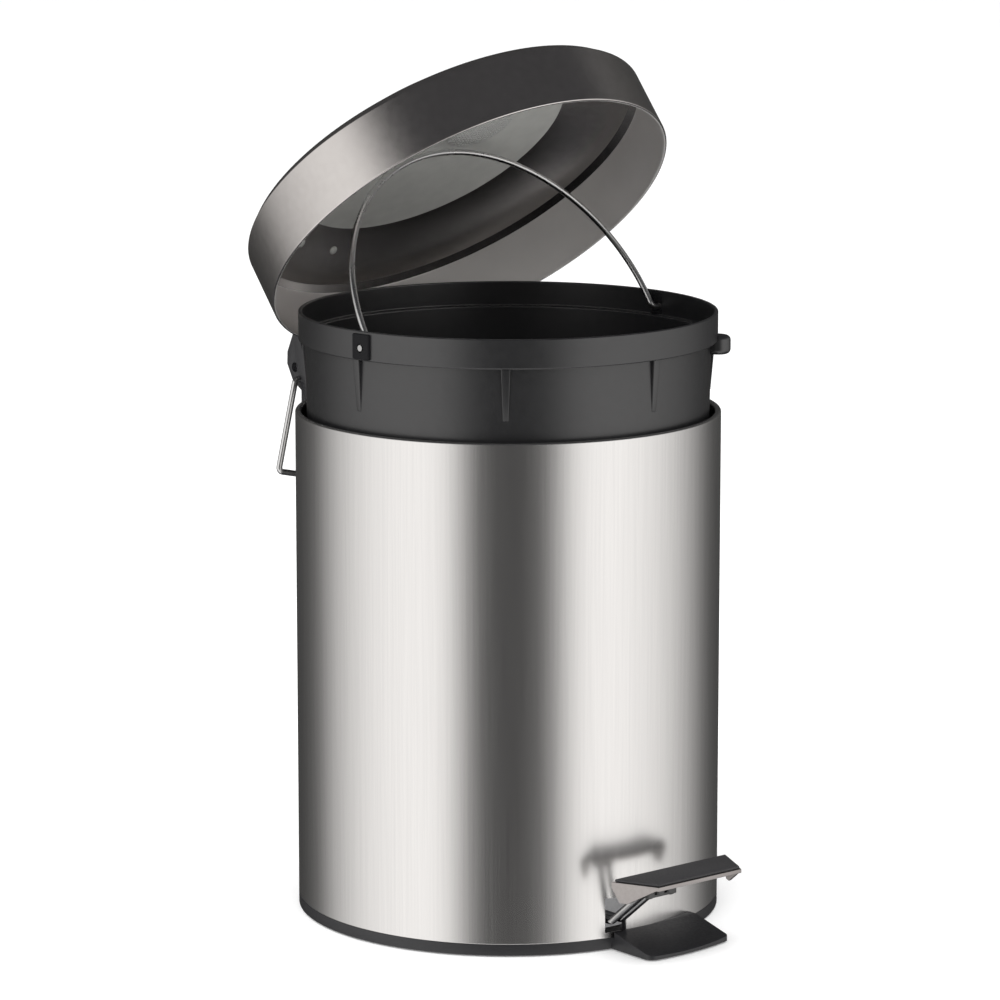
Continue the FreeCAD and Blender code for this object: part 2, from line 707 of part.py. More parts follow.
finish(feature("lever_wire", bent_wire(lever_path(), wire)), "pedal_lever")

tube_length = (ear_inner - s.slot_gap / 2) * 2
tube_bar = cylinder("tube_bar", s.tube_radius, tube_length, s.lever_place - tube_length / 2,
                    s.pivot_back, pivot_height, "x")
tube_bore = cylinder("tube_bore", s.pivot_pin + s.running_gap, tube_length + 2,
                     s.lever_place - tube_length / 2 - 1, s.pivot_back, pivot_height, "x")
finish(cut("tube_cut", tube_bar, [tube_bore]), "lever_tube")

# ---------------------------------------------------------------- pedal
# A steel plate that narrows to the front, with a turned-down cheek at each end and a shallow
# front lip.  It is riveted with a saddle over the wire's ends and has a rubber tread on top.
half_pedal = s.pedal_width / 2
half_nose = s.pedal_nose / 2
pedal_rear = -pedal_front + s.pedal_depth
plate_low = s.pedal_top - s.pedal_sheet
pedal_low = s.pedal_top - s.cheek_depth
taper = (half_pedal - half_nose) / s.pedal_depth


def pedal_slab(name, inset, behind, low, high):
    """The pedal's plan, drawn in from its edges and run between two heights."""
    body = new_body(name)
    nose = half_nose - inset * 1.1 + taper * inset
    tail_half = half_nose - inset * 1.1 + taper * (s.pedal_depth + behind)
    pad(body, "XY_Plane", [
        (-nose, -pedal_front + inset),
        (nose, -pedal_front + inset),
        (tail_half, pedal_rear + behind),
        (-tail_half, pedal_rear + behind),
    ], high - low)
    place(body, 0, 0, low)
    return body


pedal_cap = pedal_slab("pedal_cap", as_size(0), as_size(0), pedal_low, s.pedal_top)
pedal_room = pedal_slab("pedal_room", s.pedal_sheet, as_size(2), pedal_low - 1, plate_low)
cheek_slope = side_prism("cheek_slope", [
    (-pedal_front - 1, plate_low - s.cheek_toe),
    (-pedal_front + s.pedal_sheet, plate_low - s.cheek_toe),
    (pedal_rear - 6, pedal_low),
    (pedal_rear - 6, pedal_low - 2),
    (-pedal_front - 1, pedal_low - 2),
], -half_pedal - 2, half_pedal + 2)
cheek_heel = side_prism("cheek_heel", [
    (pedal_rear + 1, pedal_low - 1),
    (pedal_rear + 1, s.pedal_top - 1),
    (pedal_rear, s.pedal_top - 2),
    (pedal_rear - 3, pedal_low),
    (pedal_rear - 3, pedal_low - 1),
], -half_pedal - 2, half_pedal + 2)
clamp_y = -pedal_front + 7
rivet_out = s.lever_spread / 2 + s.wire_radius + s.pedal_rivet + 0.55
saddle_half = rivet_out + s.pedal_rivet + 0.65
pedal_rivet_x = (s.lever_place - rivet_out, s.lever_place + rivet_out)
pedal_hole = s.pedal_rivet + s.hole_gap
pedal_holes = []
saddle_holes = []
pedal_rivets = []
saddle_top = plate_low - s.wire_radius * 2 - s.fit_gap
saddle_low = saddle_top - 1
for number, x in enumerate(pedal_rivet_x):
    pedal_holes.append(cylinder(f"pedal_hole_{number}", pedal_hole, 4, x, clamp_y,
                                plate_low - 1))
    saddle_holes.append(cylinder(f"saddle_hole_{number}", pedal_hole, 6, x, clamp_y,
                                 saddle_low - 1))
    shank = cylinder(f"pedal_rivet_shank_{number}", s.pedal_rivet, s.pedal_top - saddle_low, x,
                     clamp_y, saddle_low)
    head = cylinder(f"pedal_rivet_head_{number}", s.pedal_rivet_head, s.head_height, x, clamp_y,
                    saddle_low - s.head_height)
    pedal_rivets.append(fuse(f"pedal_rivet_{number}", [shank, head]))
finish(cut("pedal_cut", pedal_cap, [pedal_room, cheek_slope, cheek_heel] + pedal_holes),
       "pedal_plate")
saddle_inner = s.lever_spread / 2 + s.wire_radius + s.fit_gap
saddle_y = (clamp_y - 2, clamp_y + 2)
saddle_parts = [
    box("saddle_floor", (s.lever_place - saddle_half, s.lever_place + saddle_half), saddle_y,
        (saddle_low, saddle_top)),
    box("saddle_left", (s.lever_place - saddle_half, s.lever_place - saddle_inner), saddle_y,
        (saddle_low, plate_low)),
    box("saddle_right", (s.lever_place + saddle_inner, s.lever_place + saddle_half), saddle_y,
        (saddle_low, plate_low)),
]
finish(cut("saddle_cut", fuse("saddle_blank", saddle_parts), saddle_holes), "pedal_saddle")
finish(group("pedal_rivet_group", pedal_rivets), "pedal_rivets")
finish(pedal_slab("tread_block", s.tread_margin, -s.tread_margin, s.pedal_top,
                  s.pedal_top + s.tread_height), "pedal_tread")

# ---------------------------------------------------------------- push rod, its foot and its guide
# The rod stands on the lever's tail through a plastic foot and pushes up on the lid's arm.
push_rest_height = hinge_height + s.push_arm * sine(rest_turn)
foot_low = s.lever_height + s.wire_radius + s.contact_gap
rod_bottom = foot_low + s.rod_foot_sole
rod_length = push_rest_height - s.wire_radius - s.contact_gap - rod_bottom
rod = cylinder("rod_bar", s.wire_radius, rod_length, s.lever_place, rod_back, rod_bottom)
finish(rod, "push_rod")
foot_cap = cylinder("foot_cap_bar", s.rod_foot_radius, s.rod_foot_height, s.lever_place,
                    rod_back, foot_low)
foot_bore = cylinder("foot_cap_bore", s.wire_radius, s.rod_foot_height, s.lever_place, rod_back,
                     rod_bottom)
finish(cut("foot_cap_cut", foot_cap, [foot_bore]), "rod_foot")

guide_x = (s.lever_place - s.guide_width / 2, s.lever_place + s.guide_width / 2)
guide_z = (s.guide_height - s.guide_length / 2, s.guide_height + s.guide_length / 2)
guide_block = box("guide_block", guide_x, (s.body_radius - 10, guide_back - s.guide_step), guide_z)
guide_nose = box("guide_nose", (s.lever_place - s.guide_nose / 2, s.lever_place + s.guide_nose / 2),
                 (s.body_radius - 10, guide_back), guide_z)
body_round = cylinder("body_round", s.body_radius, 400, 0, 0, -50)
rod_hole = cylinder("rod_hole", s.wire_radius + s.guide_gap, 400, s.lever_place, rod_back, -50)
guide_cuts = [body_round, rod_hole]
for number, (x, z) in enumerate(guide_rivet_places):
    guide_cuts.append(cylinder(f"guide_hole_{number}", rivet_hole, hole_reach, x, hole_start, z,
                               "y"))
guide_blank = fuse("guide_blank", [guide_block, guide_nose])
finish(cut("guide_cut", guide_blank, guide_cuts), "rod_guide")
guide_rivets = []
for number, (x, z) in enumerate(guide_rivet_places):
    inner_face = head_seat(x)
    guide_rivets.append(rivet_along_y(f"guide_rivet_{number}", x, inner_face, z,
                                      guide_back - s.guide_step - inner_face))
finish(group("guide_rivet_group", guide_rivets), "guide_rivets")

# ---------------------------------------------------------------- hinge block
# A plastic block riveted to the back of the body.  Two ears carry the hinge pin and the rear
# handle, and the plate between them guides the push rod.
gap_inner = half_hinge - s.ear_width
block = side_prism("hinge_block_profile", [
    (s.body_radius - 9, block_foot),
    (block_back - 2.5, block_foot),
    (block_back, block_foot + 3),
    (block_back, hinge_height - 9),
    (hinge_back + 1.5, hinge_height - 5.5),
    (hinge_back + 5.2, hinge_height + 1),
    (hinge_back + 5, hinge_height + 6),
    (hinge_back + 0.9, hinge_height + s.nose_height),
    (hinge_back - 2.5, hinge_height + s.nose_height),
    (hinge_back - 6.7, hinge_height + 3.5),
    (hinge_back - 8.2, s.body_top + 0.8),
    (s.body_radius - 9, s.body_top + 0.8),
], -half_hinge, half_hinge)
block_cuts = [
    body_round,
    rod_hole,
    box("block_gap", (-gap_inner, gap_inner), (s.body_radius - 20, hinge_back + 20),
        (s.body_top - 0.6, hinge_height + 30)),
    cylinder("block_bore", s.hinge_pin + s.fit_gap / 2, s.hinge_width + 2, -half_hinge - 1,
             hinge_back, hinge_height, "x"),
    cylinder("handle_bore", s.handle_wire + s.running_gap, s.hinge_width + 2, -half_hinge - 1,
             handle_back, handle_height, "x"),
]
for number, (x, z) in enumerate(block_rivet_places):
    block_cuts.append(cylinder(f"block_hole_{number}", rivet_hole, hole_reach, x, hole_start, z,
                               "y"))
finish(cut("hinge_block_cut", block, block_cuts), "hinge_block")
hinge_rivets = []
for number, (x, z) in enumerate(block_rivet_places):
    inner_face = head_seat(x)
    hinge_rivets.append(rivet_along_y(f"hinge_rivet_{number}", x, inner_face, z,
                                      block_back - inner_face))
finish(group("hinge_rivet_group", hinge_rivets), "hinge_rivets")
finish(cylinder("hinge_pin_bar", s.hinge_pin, s.hinge_width - 4, -half_hinge + 2, hinge_back,
                hinge_height, "x"), "hinge_pin")

# ---------------------------------------------------------------- lid
# A drawn steel lid: straight skirt with a rolled rim, sloping shoulder and flat crown.
skirt_top = lid_rim + s.skirt_height
crown_top = lid_rim + s.crown_height
shoulder_radius = lid_radius - s.shoulder_drop
lid_inner = lid_radius - s.lid_sheet
lid_outline = [
    (lid_radius, lid_rim),
    (lid_radius, skirt_top),
    (shoulder_radius, skirt_top + s.shoulder_drop),
    (crown_radius, crown_top),
    (0, crown_top),
    (0, crown_top - s.lid_sheet),
    (crown_radius - 0.2, crown_top - s.lid_sheet),
    (shoulder_radius - 0.5, skirt_top + s.shoulder_drop - s.lid_sheet),
    (lid_inner, skirt_top - 0.3),
    (lid_inner, lid_rim + s.bead_height),
    (lid_radius - s.bead_width, lid_rim + s.bead_height),
    (lid_radius - s.bead_width, lid_rim),
]
# Two rivets hold the arm on the lid's shoulder, left of the middle.
rivet_turns = (s.lid_rivet_turn.value, s.lid_rivet_next.value)
rivet_ring = (lid_radius - s.lid_rivet_inset).value
slope_run = crown_radius - shoulder_radius
slope_rise = s.crown_height - s.skirt_height - s.shoulder_drop
slope_angle = math.degrees(math.atan2(slope_rise.value, -slope_run.value))
fraction = (rivet_ring - shoulder_radius.value) / slope_run.value
rivet_height = skirt_top.value + s.shoulder_drop.value + fraction * slope_rise.value


def lid_rivet_frame(turn, depth):
    """A place on the shoulder, square to it, some way below its outer face."""
    aim = math.radians(90 + turn)
    outward = Vector(math.cos(aim), math.sin(aim), 0)
    lean = math.radians(slope_angle)
    normal = outward * math.sin(lean) + Vector(0, 0, math.cos(lean))
    spot = outward * rivet_ring + Vector(0, 0, rivet_height) - normal * depth
    return Placement(spot, Rotation(Vector(0, 0, 1), normal))


def loose_cylinder(name, radius, length, frame):
    """A round bar in a frame worked out from the lid's slope."""
    item = doc.addObject("Part::Cylinder", name)
    bind(item, "Radius", radius)
    bind(item, "Height", length)
    item.Placement = frame
    return item


lid_holes = [loose_cylinder(f"lid_hole_{number}", rivet_hole, 6, lid_rivet_frame(turn, 3))
             for number, turn in enumerate(rivet_turns)]
lid = finish(cut("lid_cut", turned_body("lid_profile", lid_outline), lid_holes), "lid_shell")
lid.Placement = opened

# ---------------------------------------------------------------- hinge arm, its rivets and push pin
# The arm's strap lies on the lid's skirt and shoulder, its knuckle turns on the hinge pin and
# its two cheeks hold the push pin in front of the hinge.
strap_outer = lid_radius + s.strap_sheet
strap_corner = shoulder_radius + s.strap_sheet * 0.75
strap_end = 0.42
strap_outline = [
    (lid_radius, lid_rim + 3),
    (strap_outer, lid_rim + 3),
    (strap_outer, skirt_top + 0.5),
    (strap_corner, skirt_top + s.shoulder_drop + s.strap_sheet),
    (shoulder_radius + slope_run * strap_end * 2 + 0.5,
     skirt_top + s.shoulder_drop + slope_rise * strap_end * 2 + s.strap_sheet),
    (shoulder_radius + slope_run * strap_end * 2,
     skirt_top + s.shoulder_drop + slope_rise * strap_end * 2),
    (shoulder_radius, skirt_top + s.shoulder_drop),
    (lid_radius, skirt_top),
]
strap = new_body("arm_strap")
revolve(strap, strap_outline, "Strap", 31.0, 95.0)
knuckle_x = s.lever_place - s.knuckle_width / 2
knuckle_end = knuckle_x + s.knuckle_width
arm_neck = side_prism("arm_neck", [
    (lid_radius - 3.6, lid_rim + 4),
    (hinge_back - 3, hinge_height + 3.3),
    (hinge_back + 2.5, hinge_height + 3.7),
    (hinge_back - 2, hinge_height + 9),
    (lid_radius - 3.6, lid_rim + 16),
], knuckle_x + 4, knuckle_end)
lid_round = cylinder("lid_round", lid_radius + 0.01, s.skirt_height, 0, 0, lid_rim)
neck_trimmed = cut("neck_trimmed", arm_neck, [lid_round])
knuckle = cylinder("arm_knuckle", s.knuckle_radius, s.knuckle_width, knuckle_x, hinge_back,
                   hinge_height, "x")
push_drop = math.radians(s.push_angle.value)
push_back = hinge_back - s.push_arm * math.cos(push_drop)
push_height = hinge_height - s.push_arm * math.sin(push_drop)
arm_cheeks = []
for name, low in (("left", knuckle_x), ("right", knuckle_end - 3)):
    arm_cheeks.append(side_prism(f"arm_cheek_{name}", [
        (push_back - 3, push_height - 2.6),
        (push_back + 3, push_height - 2.6),
        (hinge_back + 1, hinge_height - s.knuckle_radius + 0.2),
        (hinge_back - 1, hinge_height + s.knuckle_radius - 0.2),
        (push_back - 3, push_height + 2.8),
    ], low, low + 3))
arm_blank = fuse("arm_blank", [strap, neck_trimmed, knuckle] + arm_cheeks)
arm_cuts = [
    cylinder("arm_bore", s.hinge_pin + s.running_gap, s.knuckle_width + 2, knuckle_x - 1,
             hinge_back, hinge_height, "x"),
    cylinder("push_bore", s.wire_radius, s.knuckle_width + 2, knuckle_x - 1, push_back,
             push_height, "x"),
]
arm_cuts += [loose_cylinder(f"arm_hole_{number}", rivet_hole, 6, lid_rivet_frame(turn, 3))
             for number, turn in enumerate(rivet_turns)]
arm = finish(cut("arm_cut", arm_blank, arm_cuts), "hinge_arm")
arm.Placement = opened
push = finish(cylinder("push_bar", s.wire_radius, s.knuckle_width, knuckle_x, push_back,
                       push_height, "x"), "push_pin")
for letter in "xyz":
    push.setExpression(f"Placement.Base.{letter}", None)
push.Placement = opened.multiply(Placement(Vector(knuckle_x.value, push_back.value,
                                                  push_height.value), ALONG["x"]))
lid_rivets = []
for number, turn in enumerate(rivet_turns):
    rivet_seat = s.strap_sheet + s.fit_gap * 2.5
    grip = s.lid_sheet + s.fit_gap + rivet_seat
    shank = loose_cylinder(f"lid_rivet_shank_{number}", s.rivet_radius, grip,
                           lid_rivet_frame(turn, s.lid_sheet.value + s.fit_gap.value))
    inside = loose_cylinder(f"lid_rivet_inside_{number}", s.rivet_head, s.head_height,
                            lid_rivet_frame(turn, s.lid_sheet.value + s.head_height.value
                                            + s.fit_gap.value))
    outside = loose_cylinder(f"lid_rivet_outside_{number}", s.rivet_head, s.head_height,
                             lid_rivet_frame(turn, -rivet_seat.value))
    lid_rivets.append(fuse(f"lid_rivet_{number}", [shank, inside, outside]))
rivets = finish(group("lid_rivet_group", lid_rivets), "lid_rivets")
rivets.Placement = opened

# ---------------------------------------------------------------- round disc under the lid
# A thin textured disc stuck to the underside of the crown.
disc = finish(cylinder("disc_bar", s.disc_radius, s.disc_height, s.disc_across, -s.disc_forward,
                       crown_top - s.lid_sheet - s.disc_height), "lid_disc")
for letter in "xyz":
    disc.setExpression(f"Placement.Base.{letter}", None)
disc_place = Vector(s.disc_across.value, -s.disc_forward.value,
                    (crown_top - s.lid_sheet - s.disc_height).value)
disc.Placement = opened.multiply(Placement(disc_place, Rotation()))

# ---------------------------------------------------------------- bucket
# A black plastic pail with a stepped rim band, ribs below the band, a round thumb lug, and a
# square boss around each hole of the bail.  It stands raised in the body.
bucket_floor = closed_bucket_floor
wall_foot = bucket_radius - s.bucket_draft
band_foot = bucket_top - s.band_height
bucket_body = new_body("bucket_body")
revolve(bucket_body, [
    (bucket_band, bucket_top),
    (bucket_band, band_foot),
    (bucket_radius, band_foot),
    (wall_foot, bucket_floor),
    (wall_foot - s.bucket_foot, bucket_floor),
    (wall_foot - s.bucket_foot, bucket_floor + s.bucket_step),
    (0, bucket_floor + s.bucket_step),
    (0, bucket_floor + s.bucket_step + s.bucket_wall),
    (wall_foot - s.bucket_wall, bucket_floor + s.bucket_step + s.bucket_wall),
    (bucket_radius - s.bucket_wall, band_foot + s.bucket_wall),
    (bucket_band - s.bucket_wall, band_foot + s.bucket_wall),
    (bucket_band - s.bucket_wall, bucket_top),
], "Pail")
rib_sketch = sketch_on(bucket_body, "XZ_Plane", "RibOutline")
rib_fraction = s.rib_height / (band_foot - bucket_floor)
outline(rib_sketch, [
    (bucket_radius - 0.6, band_foot + 0.5),
    (bucket_band - 1.1, band_foot + 0.5),
    (bucket_band - 1.1, band_foot - 2),
    (bucket_radius - s.bucket_draft * rib_fraction, band_foot - s.rib_height),
    (bucket_radius - 1.2, band_foot - s.rib_height),
])
rib = bucket_body.newObject("PartDesign::Pad", "Rib")
rib.Profile = rib_sketch
bind(rib, "Length", s.rib_width)
rib.Midplane = True
doc.recompute()
ribs = bucket_body.newObject("PartDesign::PolarPattern", "Ribs")
ribs.Originals = [rib]
ribs.Axis = (rib_sketch, ["V_Axis"])
ribs.Angle = 360
bind(ribs, "Occurrences", s.rib_count)
bucket_body.Tip = ribs
bucket_body.Placement = Placement(Vector(), Rotation(Vector(0, 0, 1), s.bail_turn.value))
lug_aim = math.radians(s.lug_angle.value)
lug = cylinder("thumb_lug", s.lug_radius, s.lug_height, lug_reach * math.cos(lug_aim),
               lug_reach * math.sin(lug_aim), bucket_top - s.lug_drop - s.lug_height)
pail_bore = cylinder("pail_bore", bucket_band - s.bucket_wall, 60, 0, 0,
                     band_foot + s.bucket_wall)
lug_trimmed = cut("lug_trimmed", lug, [cylinder("lug_bore", bucket_radius - 0.5, 60, 0, 0,
                                                band_foot - 20)])
pivot_down = bucket_top - s.bail_drop
bail_aim = Rotation(Vector(0, 0, 1), s.bail_turn.value)
turn = math.radians(s.bail_turn.value)
# The bail's axis passes in front of the bucket's middle.
axis_middle = Vector(0, -s.bail_forward.value, 0)


def turned_box(name, x, y, z):
    """A block turned with the bail's axis."""
    item = doc.addObject("Part::Box", name)
    for prop, limits in (("Length", x), ("Width", y), ("Height", z)):
        bind(item, prop, as_size(limits[1]) - limits[0])
    corner = Vector(as_size(x[0]).value, as_size(y[0]).value, as_size(z[0]).value)
    item.Placement = Placement(axis_middle, bail_aim).multiply(Placement(corner, Rotation()))
    return item


half_boss = s.boss_width / 2
boss_z = (pivot_down - half_boss, bucket_top - 1)
bosses = [turned_box("boss_left", (-boss_reach, -bucket_radius + 3), (-half_boss, half_boss),
                     boss_z),
          turned_box("boss_right", (bucket_radius - 3, boss_reach), (-half_boss, half_boss),
                     boss_z)]
boss_round = doc.addObject("Part::MultiCommon", "boss_round")
boss_limit = cylinder("boss_limit", boss_reach, 60, 0, 0, band_foot - 5)
boss_pair = group("boss_pair", bosses)
boss_round.Shapes = [boss_pair, boss_limit]
boss_trimmed = cut("boss_trimmed", boss_round, [pail_bore])
bail_bore = doc.addObject("Part::Cylinder", "bail_bore")
bind(bail_bore, "Radius", s.bail_wire + s.running_gap)
bind(bail_bore, "Height", boss_reach * 2 + 4)
bore_start = Vector(-boss_reach.value - 2, 0, pivot_down.value)
bail_bore.Placement = Placement(axis_middle, bail_aim).multiply(Placement(bore_start, ALONG["x"]))
bucket_blank = fuse("bucket_blank", [bucket_body, lug_trimmed, boss_trimmed])
bucket = finish(cut("bucket_cut", bucket_blank, [bail_bore]), "inner_bucket")
place(bucket, 0, 0, bucket_lift)

# ---------------------------------------------------------------- bail
# One bright wire: an arch whose feet turn outwards through the bucket's bosses.
bail_r = bail_reach.value
bend = s.bail_bend.value
foot_tip = boss_reach.value - s.fit_gap.value
arch_rise = s.bail_height.value - bend
arch = Part.Ellipse(Vector(0, 0, bend), bail_r, arch_rise)
arch.Axis = Vector(0, -1, 0)
arch.XAxis = Vector(1, 0, 0)


def bail_end(side):
    """The straight foot and the bend at one end of the bail, from its tip inwards."""
    knee = side * (bail_r + bend)
    corner = math.sin(math.pi / 4) * bend
    straight = Part.LineSegment(Vector(side * foot_tip, 0, 0), Vector(knee, 0, 0)).toShape()
    middle = Vector(knee - side * corner, 0, bend - corner)
    curve = Part.Arc(Vector(knee, 0, 0), middle, Vector(side * bail_r, 0, bend)).toShape()
    return [straight, curve]


top_arch = Part.ArcOfEllipse(arch, 0, math.pi).toShape()
right_end = bail_end(1)
left_end = bail_end(-1)
bail = finish(feature("bail_wire_shape", bent_wire(right_end + [top_arch] + left_end[::-1],
                                                   s.bail_wire.value)), "bail")
bail_lean = s.lid_open * s.bail_ratio - s.bail_closed
lean_back = Rotation(Vector(1, 0, 0), -bail_lean.value)
bail_pivot = axis_middle + Vector(0, 0, pivot_down.value + bucket_lift.value)
bail.Placement = Placement(bail_pivot, bail_aim.multiply(lean_back))

# ---------------------------------------------------------------- rear handle
# A wire handle whose ends turn into the hinge block.  It hangs straight down.
top_half = half_hinge.value + s.handle_side.value
grip_half = top_half + s.handle_flare.value
corner_z = handle_height.value - s.handle_drop.value
grip_back = handle_back.value
sag = s.handle_sag.value
grip_points = [
    Vector(-half_hinge.value + s.ear_width.value / 2, grip_back, handle_height.value),
    Vector(-top_half, grip_back, handle_height.value),
    Vector(-grip_half, grip_back, corner_z),
    Vector(-grip_half * 0.45, grip_back, corner_z - sag * 0.8),
    Vector(0, grip_back, corner_z - sag),
]
mirrored = [Vector(-point.x, point.y, point.z) for point in reversed(grip_points[:-1])]
handle_points = grip_points[:-1] + mirrored
handle_path = rounded_path(handle_points, s.handle_wire.value * 1.6)
finish(feature("handle_shape", bent_wire(handle_path, s.handle_wire.value)), "rear_handle")

# ---------------------------------------------------------------- checks and files
doc.recompute()
for item in doc.Objects:
    if "Invalid" in item.State or "Error" in item.State:
        raise RuntimeError(f"{item.Label} did not compute")
os.makedirs("parts", exist_ok=True)
for node, item in nodes.items():
    shape = item.Shape
    if shape.isNull() or not shape.isValid():
        raise RuntimeError(f"{node} has no valid shape")
    shape.exportStep(f"parts/{node}.step")
    print(node, len(shape.Solids), round(shape.Volume, 1))
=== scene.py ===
"""A three-litre pedal bin: brushed steel body and lid, black bucket, wire bail, pedal linkage."""
import json
import math

import bmesh
import bpy
from mathutils import Matrix, Vector


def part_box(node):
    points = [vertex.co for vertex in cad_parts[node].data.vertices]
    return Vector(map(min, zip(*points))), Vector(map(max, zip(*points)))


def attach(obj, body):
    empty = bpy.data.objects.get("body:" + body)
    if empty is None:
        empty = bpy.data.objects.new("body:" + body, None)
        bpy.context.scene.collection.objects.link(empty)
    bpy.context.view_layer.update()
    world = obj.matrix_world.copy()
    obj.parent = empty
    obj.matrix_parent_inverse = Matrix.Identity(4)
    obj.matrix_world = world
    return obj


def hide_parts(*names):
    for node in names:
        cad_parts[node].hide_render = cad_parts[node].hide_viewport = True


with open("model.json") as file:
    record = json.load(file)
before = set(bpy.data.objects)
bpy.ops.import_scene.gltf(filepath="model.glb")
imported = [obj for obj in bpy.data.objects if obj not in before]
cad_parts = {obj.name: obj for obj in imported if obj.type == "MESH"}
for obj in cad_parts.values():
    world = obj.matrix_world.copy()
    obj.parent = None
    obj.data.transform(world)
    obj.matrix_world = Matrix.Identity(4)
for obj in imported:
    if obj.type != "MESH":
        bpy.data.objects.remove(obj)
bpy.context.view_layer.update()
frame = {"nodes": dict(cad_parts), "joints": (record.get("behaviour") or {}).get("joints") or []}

MM = 0.001

# ---------------------------------------------------------------- camera
# Stands in front and to the left of the bin, a little above its lid, and looks slightly down
# through a long lens.
CAMERA_PLACE = (-1.1222, -1.3405, 0.4897)
CAMERA_DIP = math.radians(10.519)
CAMERA_BEARING = math.radians(-39.828)
camera_data = bpy.data.cameras.new("studio_camera")
camera_data.sensor_width = 36.0
camera_data.lens = 159.68
camera_data.clip_start = 0.05
camera_data.clip_end = 60.0
camera = bpy.data.objects.new("studio_camera", camera_data)
bpy.context.scene.collection.objects.link(camera)
camera.location = CAMERA_PLACE
camera.rotation_euler = (math.pi / 2 - CAMERA_DIP, 0, CAMERA_BEARING)
bpy.context.scene.camera = camera
bpy.context.scene.view_settings.view_transform = "Standard"


# ---------------------------------------------------------------- floor and studio light
# A pale paper floor under an even white studio.  The steel mirrors two tall soft panels, one on
# each side of the camera, between dark gaps, with a dark ceiling above and a floor that is light
# on the camera's side.
def new_material(name):
    """A material with one shader, its node tree and that shader."""
    material = bpy.data.materials.new(name)
    material.use_nodes = True
    shader = material.node_tree.nodes["Principled BSDF"]
    return material, material.node_tree, shader


def mesh_object(name, verts, faces):
    """A mesh object at the origin from points and faces."""
    mesh = bpy.data.meshes.new(name)
    mesh.from_pydata(verts, [], faces)
    item = bpy.data.objects.new(name, mesh)
    bpy.context.scene.collection.objects.link(item)
    return item


FLOOR_HALF = 20.0
floor = mesh_object("floor", [(x * FLOOR_HALF, y * FLOOR_HALF, 0)
                              for x, y in ((-1, -1), (1, -1), (1, 1), (-1, 1))], [(0, 1, 2, 3)])
paper, _, paper_shader = new_material("floor_paper")
paper_shader.inputs["Base Color"].default_value = (0.95, 0.95, 0.95, 1)
paper_shader.inputs["Roughness"].default_value = 0.9
paper_shader.inputs["Specular IOR Level"].default_value = 0.1
paper_shader.inputs["Emission Color"].default_value = (1, 1, 1, 1)
paper_shader.inputs["Emission Strength"].default_value = 0.16
floor.data.materials.append(paper)
floor.visible_glossy = False

world = bpy.data.worlds.new("studio")
bpy.context.scene.world = world
world.use_nodes = True
sky = world.node_tree
sky.nodes.clear()


def sky_math(operation, first, second):
    """One arithmetic node of the studio's light."""
    node = sky.nodes.new("ShaderNodeMath")
    node.operation = operation
    for value, socket in zip((first, second), node.inputs):
        if isinstance(value, (int, float)):
            socket.default_value = value
        else:
            sky.links.new(value, socket)
    return node.outputs[0]


def sky_fade(value, low, high):
    """Rises smoothly from 0 to 1 between two values."""
    node = sky.nodes.new("ShaderNodeMapRange")
    node.interpolation_type = "SMOOTHSTEP"
    sky.links.new(value, node.inputs["Value"])
    node.inputs["From Min"].default_value = low
    node.inputs["From Max"].default_value = high
    return node.outputs["Result"]


def sky_mix(factor, first, second):
    """Blends two greys of the studio."""
    node = sky.nodes.new("ShaderNodeMix")
    node.data_type = "RGBA"
    sky.links.new(factor, node.inputs["Factor"])
    for label, value in (("A", first), ("B", second)):
        socket = [s for s in node.inputs if s.name == label and s.type == "RGBA"][0]
        if isinstance(value, tuple):
            socket.default_value = value
        else:
            sky.links.new(value, socket)
    return [s for s in node.outputs if s.type == "RGBA"][0]


aim = sky.nodes.new("ShaderNodeTexCoord").outputs["Generated"]
split = sky.nodes.new("ShaderNodeSeparateXYZ")
sky.links.new(aim, split.inputs[0])
CAMERA_SIDE = (-0.643, -0.766)


def sky_along(x_share, y_share):
    """How far the line of sight points along a level direction."""
    return sky_math("ADD", sky_math("MULTIPLY", split.outputs[0], x_share),
                    sky_math("MULTIPLY", split.outputs[1], y_share))


towards = sky_along(CAMERA_SIDE[0], CAMERA_SIDE[1])
sideways = sky_along(-CAMERA_SIDE[1], CAMERA_SIDE[0])
turns = sky_math("DIVIDE", sky_math("ARCTAN2", sideways, towards), math.tau)
bearing = sky_math("ADD", turns, 0.5)
panels = sky.nodes.new("ShaderNodeValToRGB")
sky.links.new(bearing, panels.inputs[0])
# Bearing from the camera in degrees, and how bright the studio is there.
PANELS = [(-180, 0.02), (-128, 0.035), (-108, 0.37), (-80, 0.76), (-52, 0.83), (-34, 0.88),
          (-22, 0.20), (-14, 0.03), (18, 0.025), (27, 0.28), (38, 0.84), (60, 0.86), (80, 0.72),
          (98, 0.60), (122, 0.19), (140, 0.045), (180, 0.02)]
PANEL_TINT = (1, 0.985, 0.97)
CEILING_FADE = (0.33, 0.66)
CEILING_GREY = (0.032, 0.032, 0.034, 1)
FLOOR_FADE = (0.42, 0.66)
FLOOR_SIDES = (-0.05, 0.35)
FLOOR_AWAY = (0.05, 0.05, 0.053, 1)
FLOOR_TOWARDS = (0.80, 0.79, 0.785, 1)
FILL_GREY = (0.60, 0.60, 0.60, 1)
BACKDROP_GREY = (0.68, 0.68, 0.68, 1)
STUDIO_STRENGTH = 1.5
ramp = panels.color_ramp
ramp.interpolation = "B_SPLINE"
while len(ramp.elements) < len(PANELS):
    ramp.elements.new(0.5)
for element, (degrees, grey) in zip(ramp.elements, PANELS):
    element.position = degrees / 360 + 0.5
    element.color = (*(grey * share for share in PANEL_TINT), 1)
height = split.outputs[2]
depth = sky_math("MULTIPLY", height, -1)
ceiling = sky_mix(sky_fade(height, *CEILING_FADE), panels.outputs[0], CEILING_GREY)
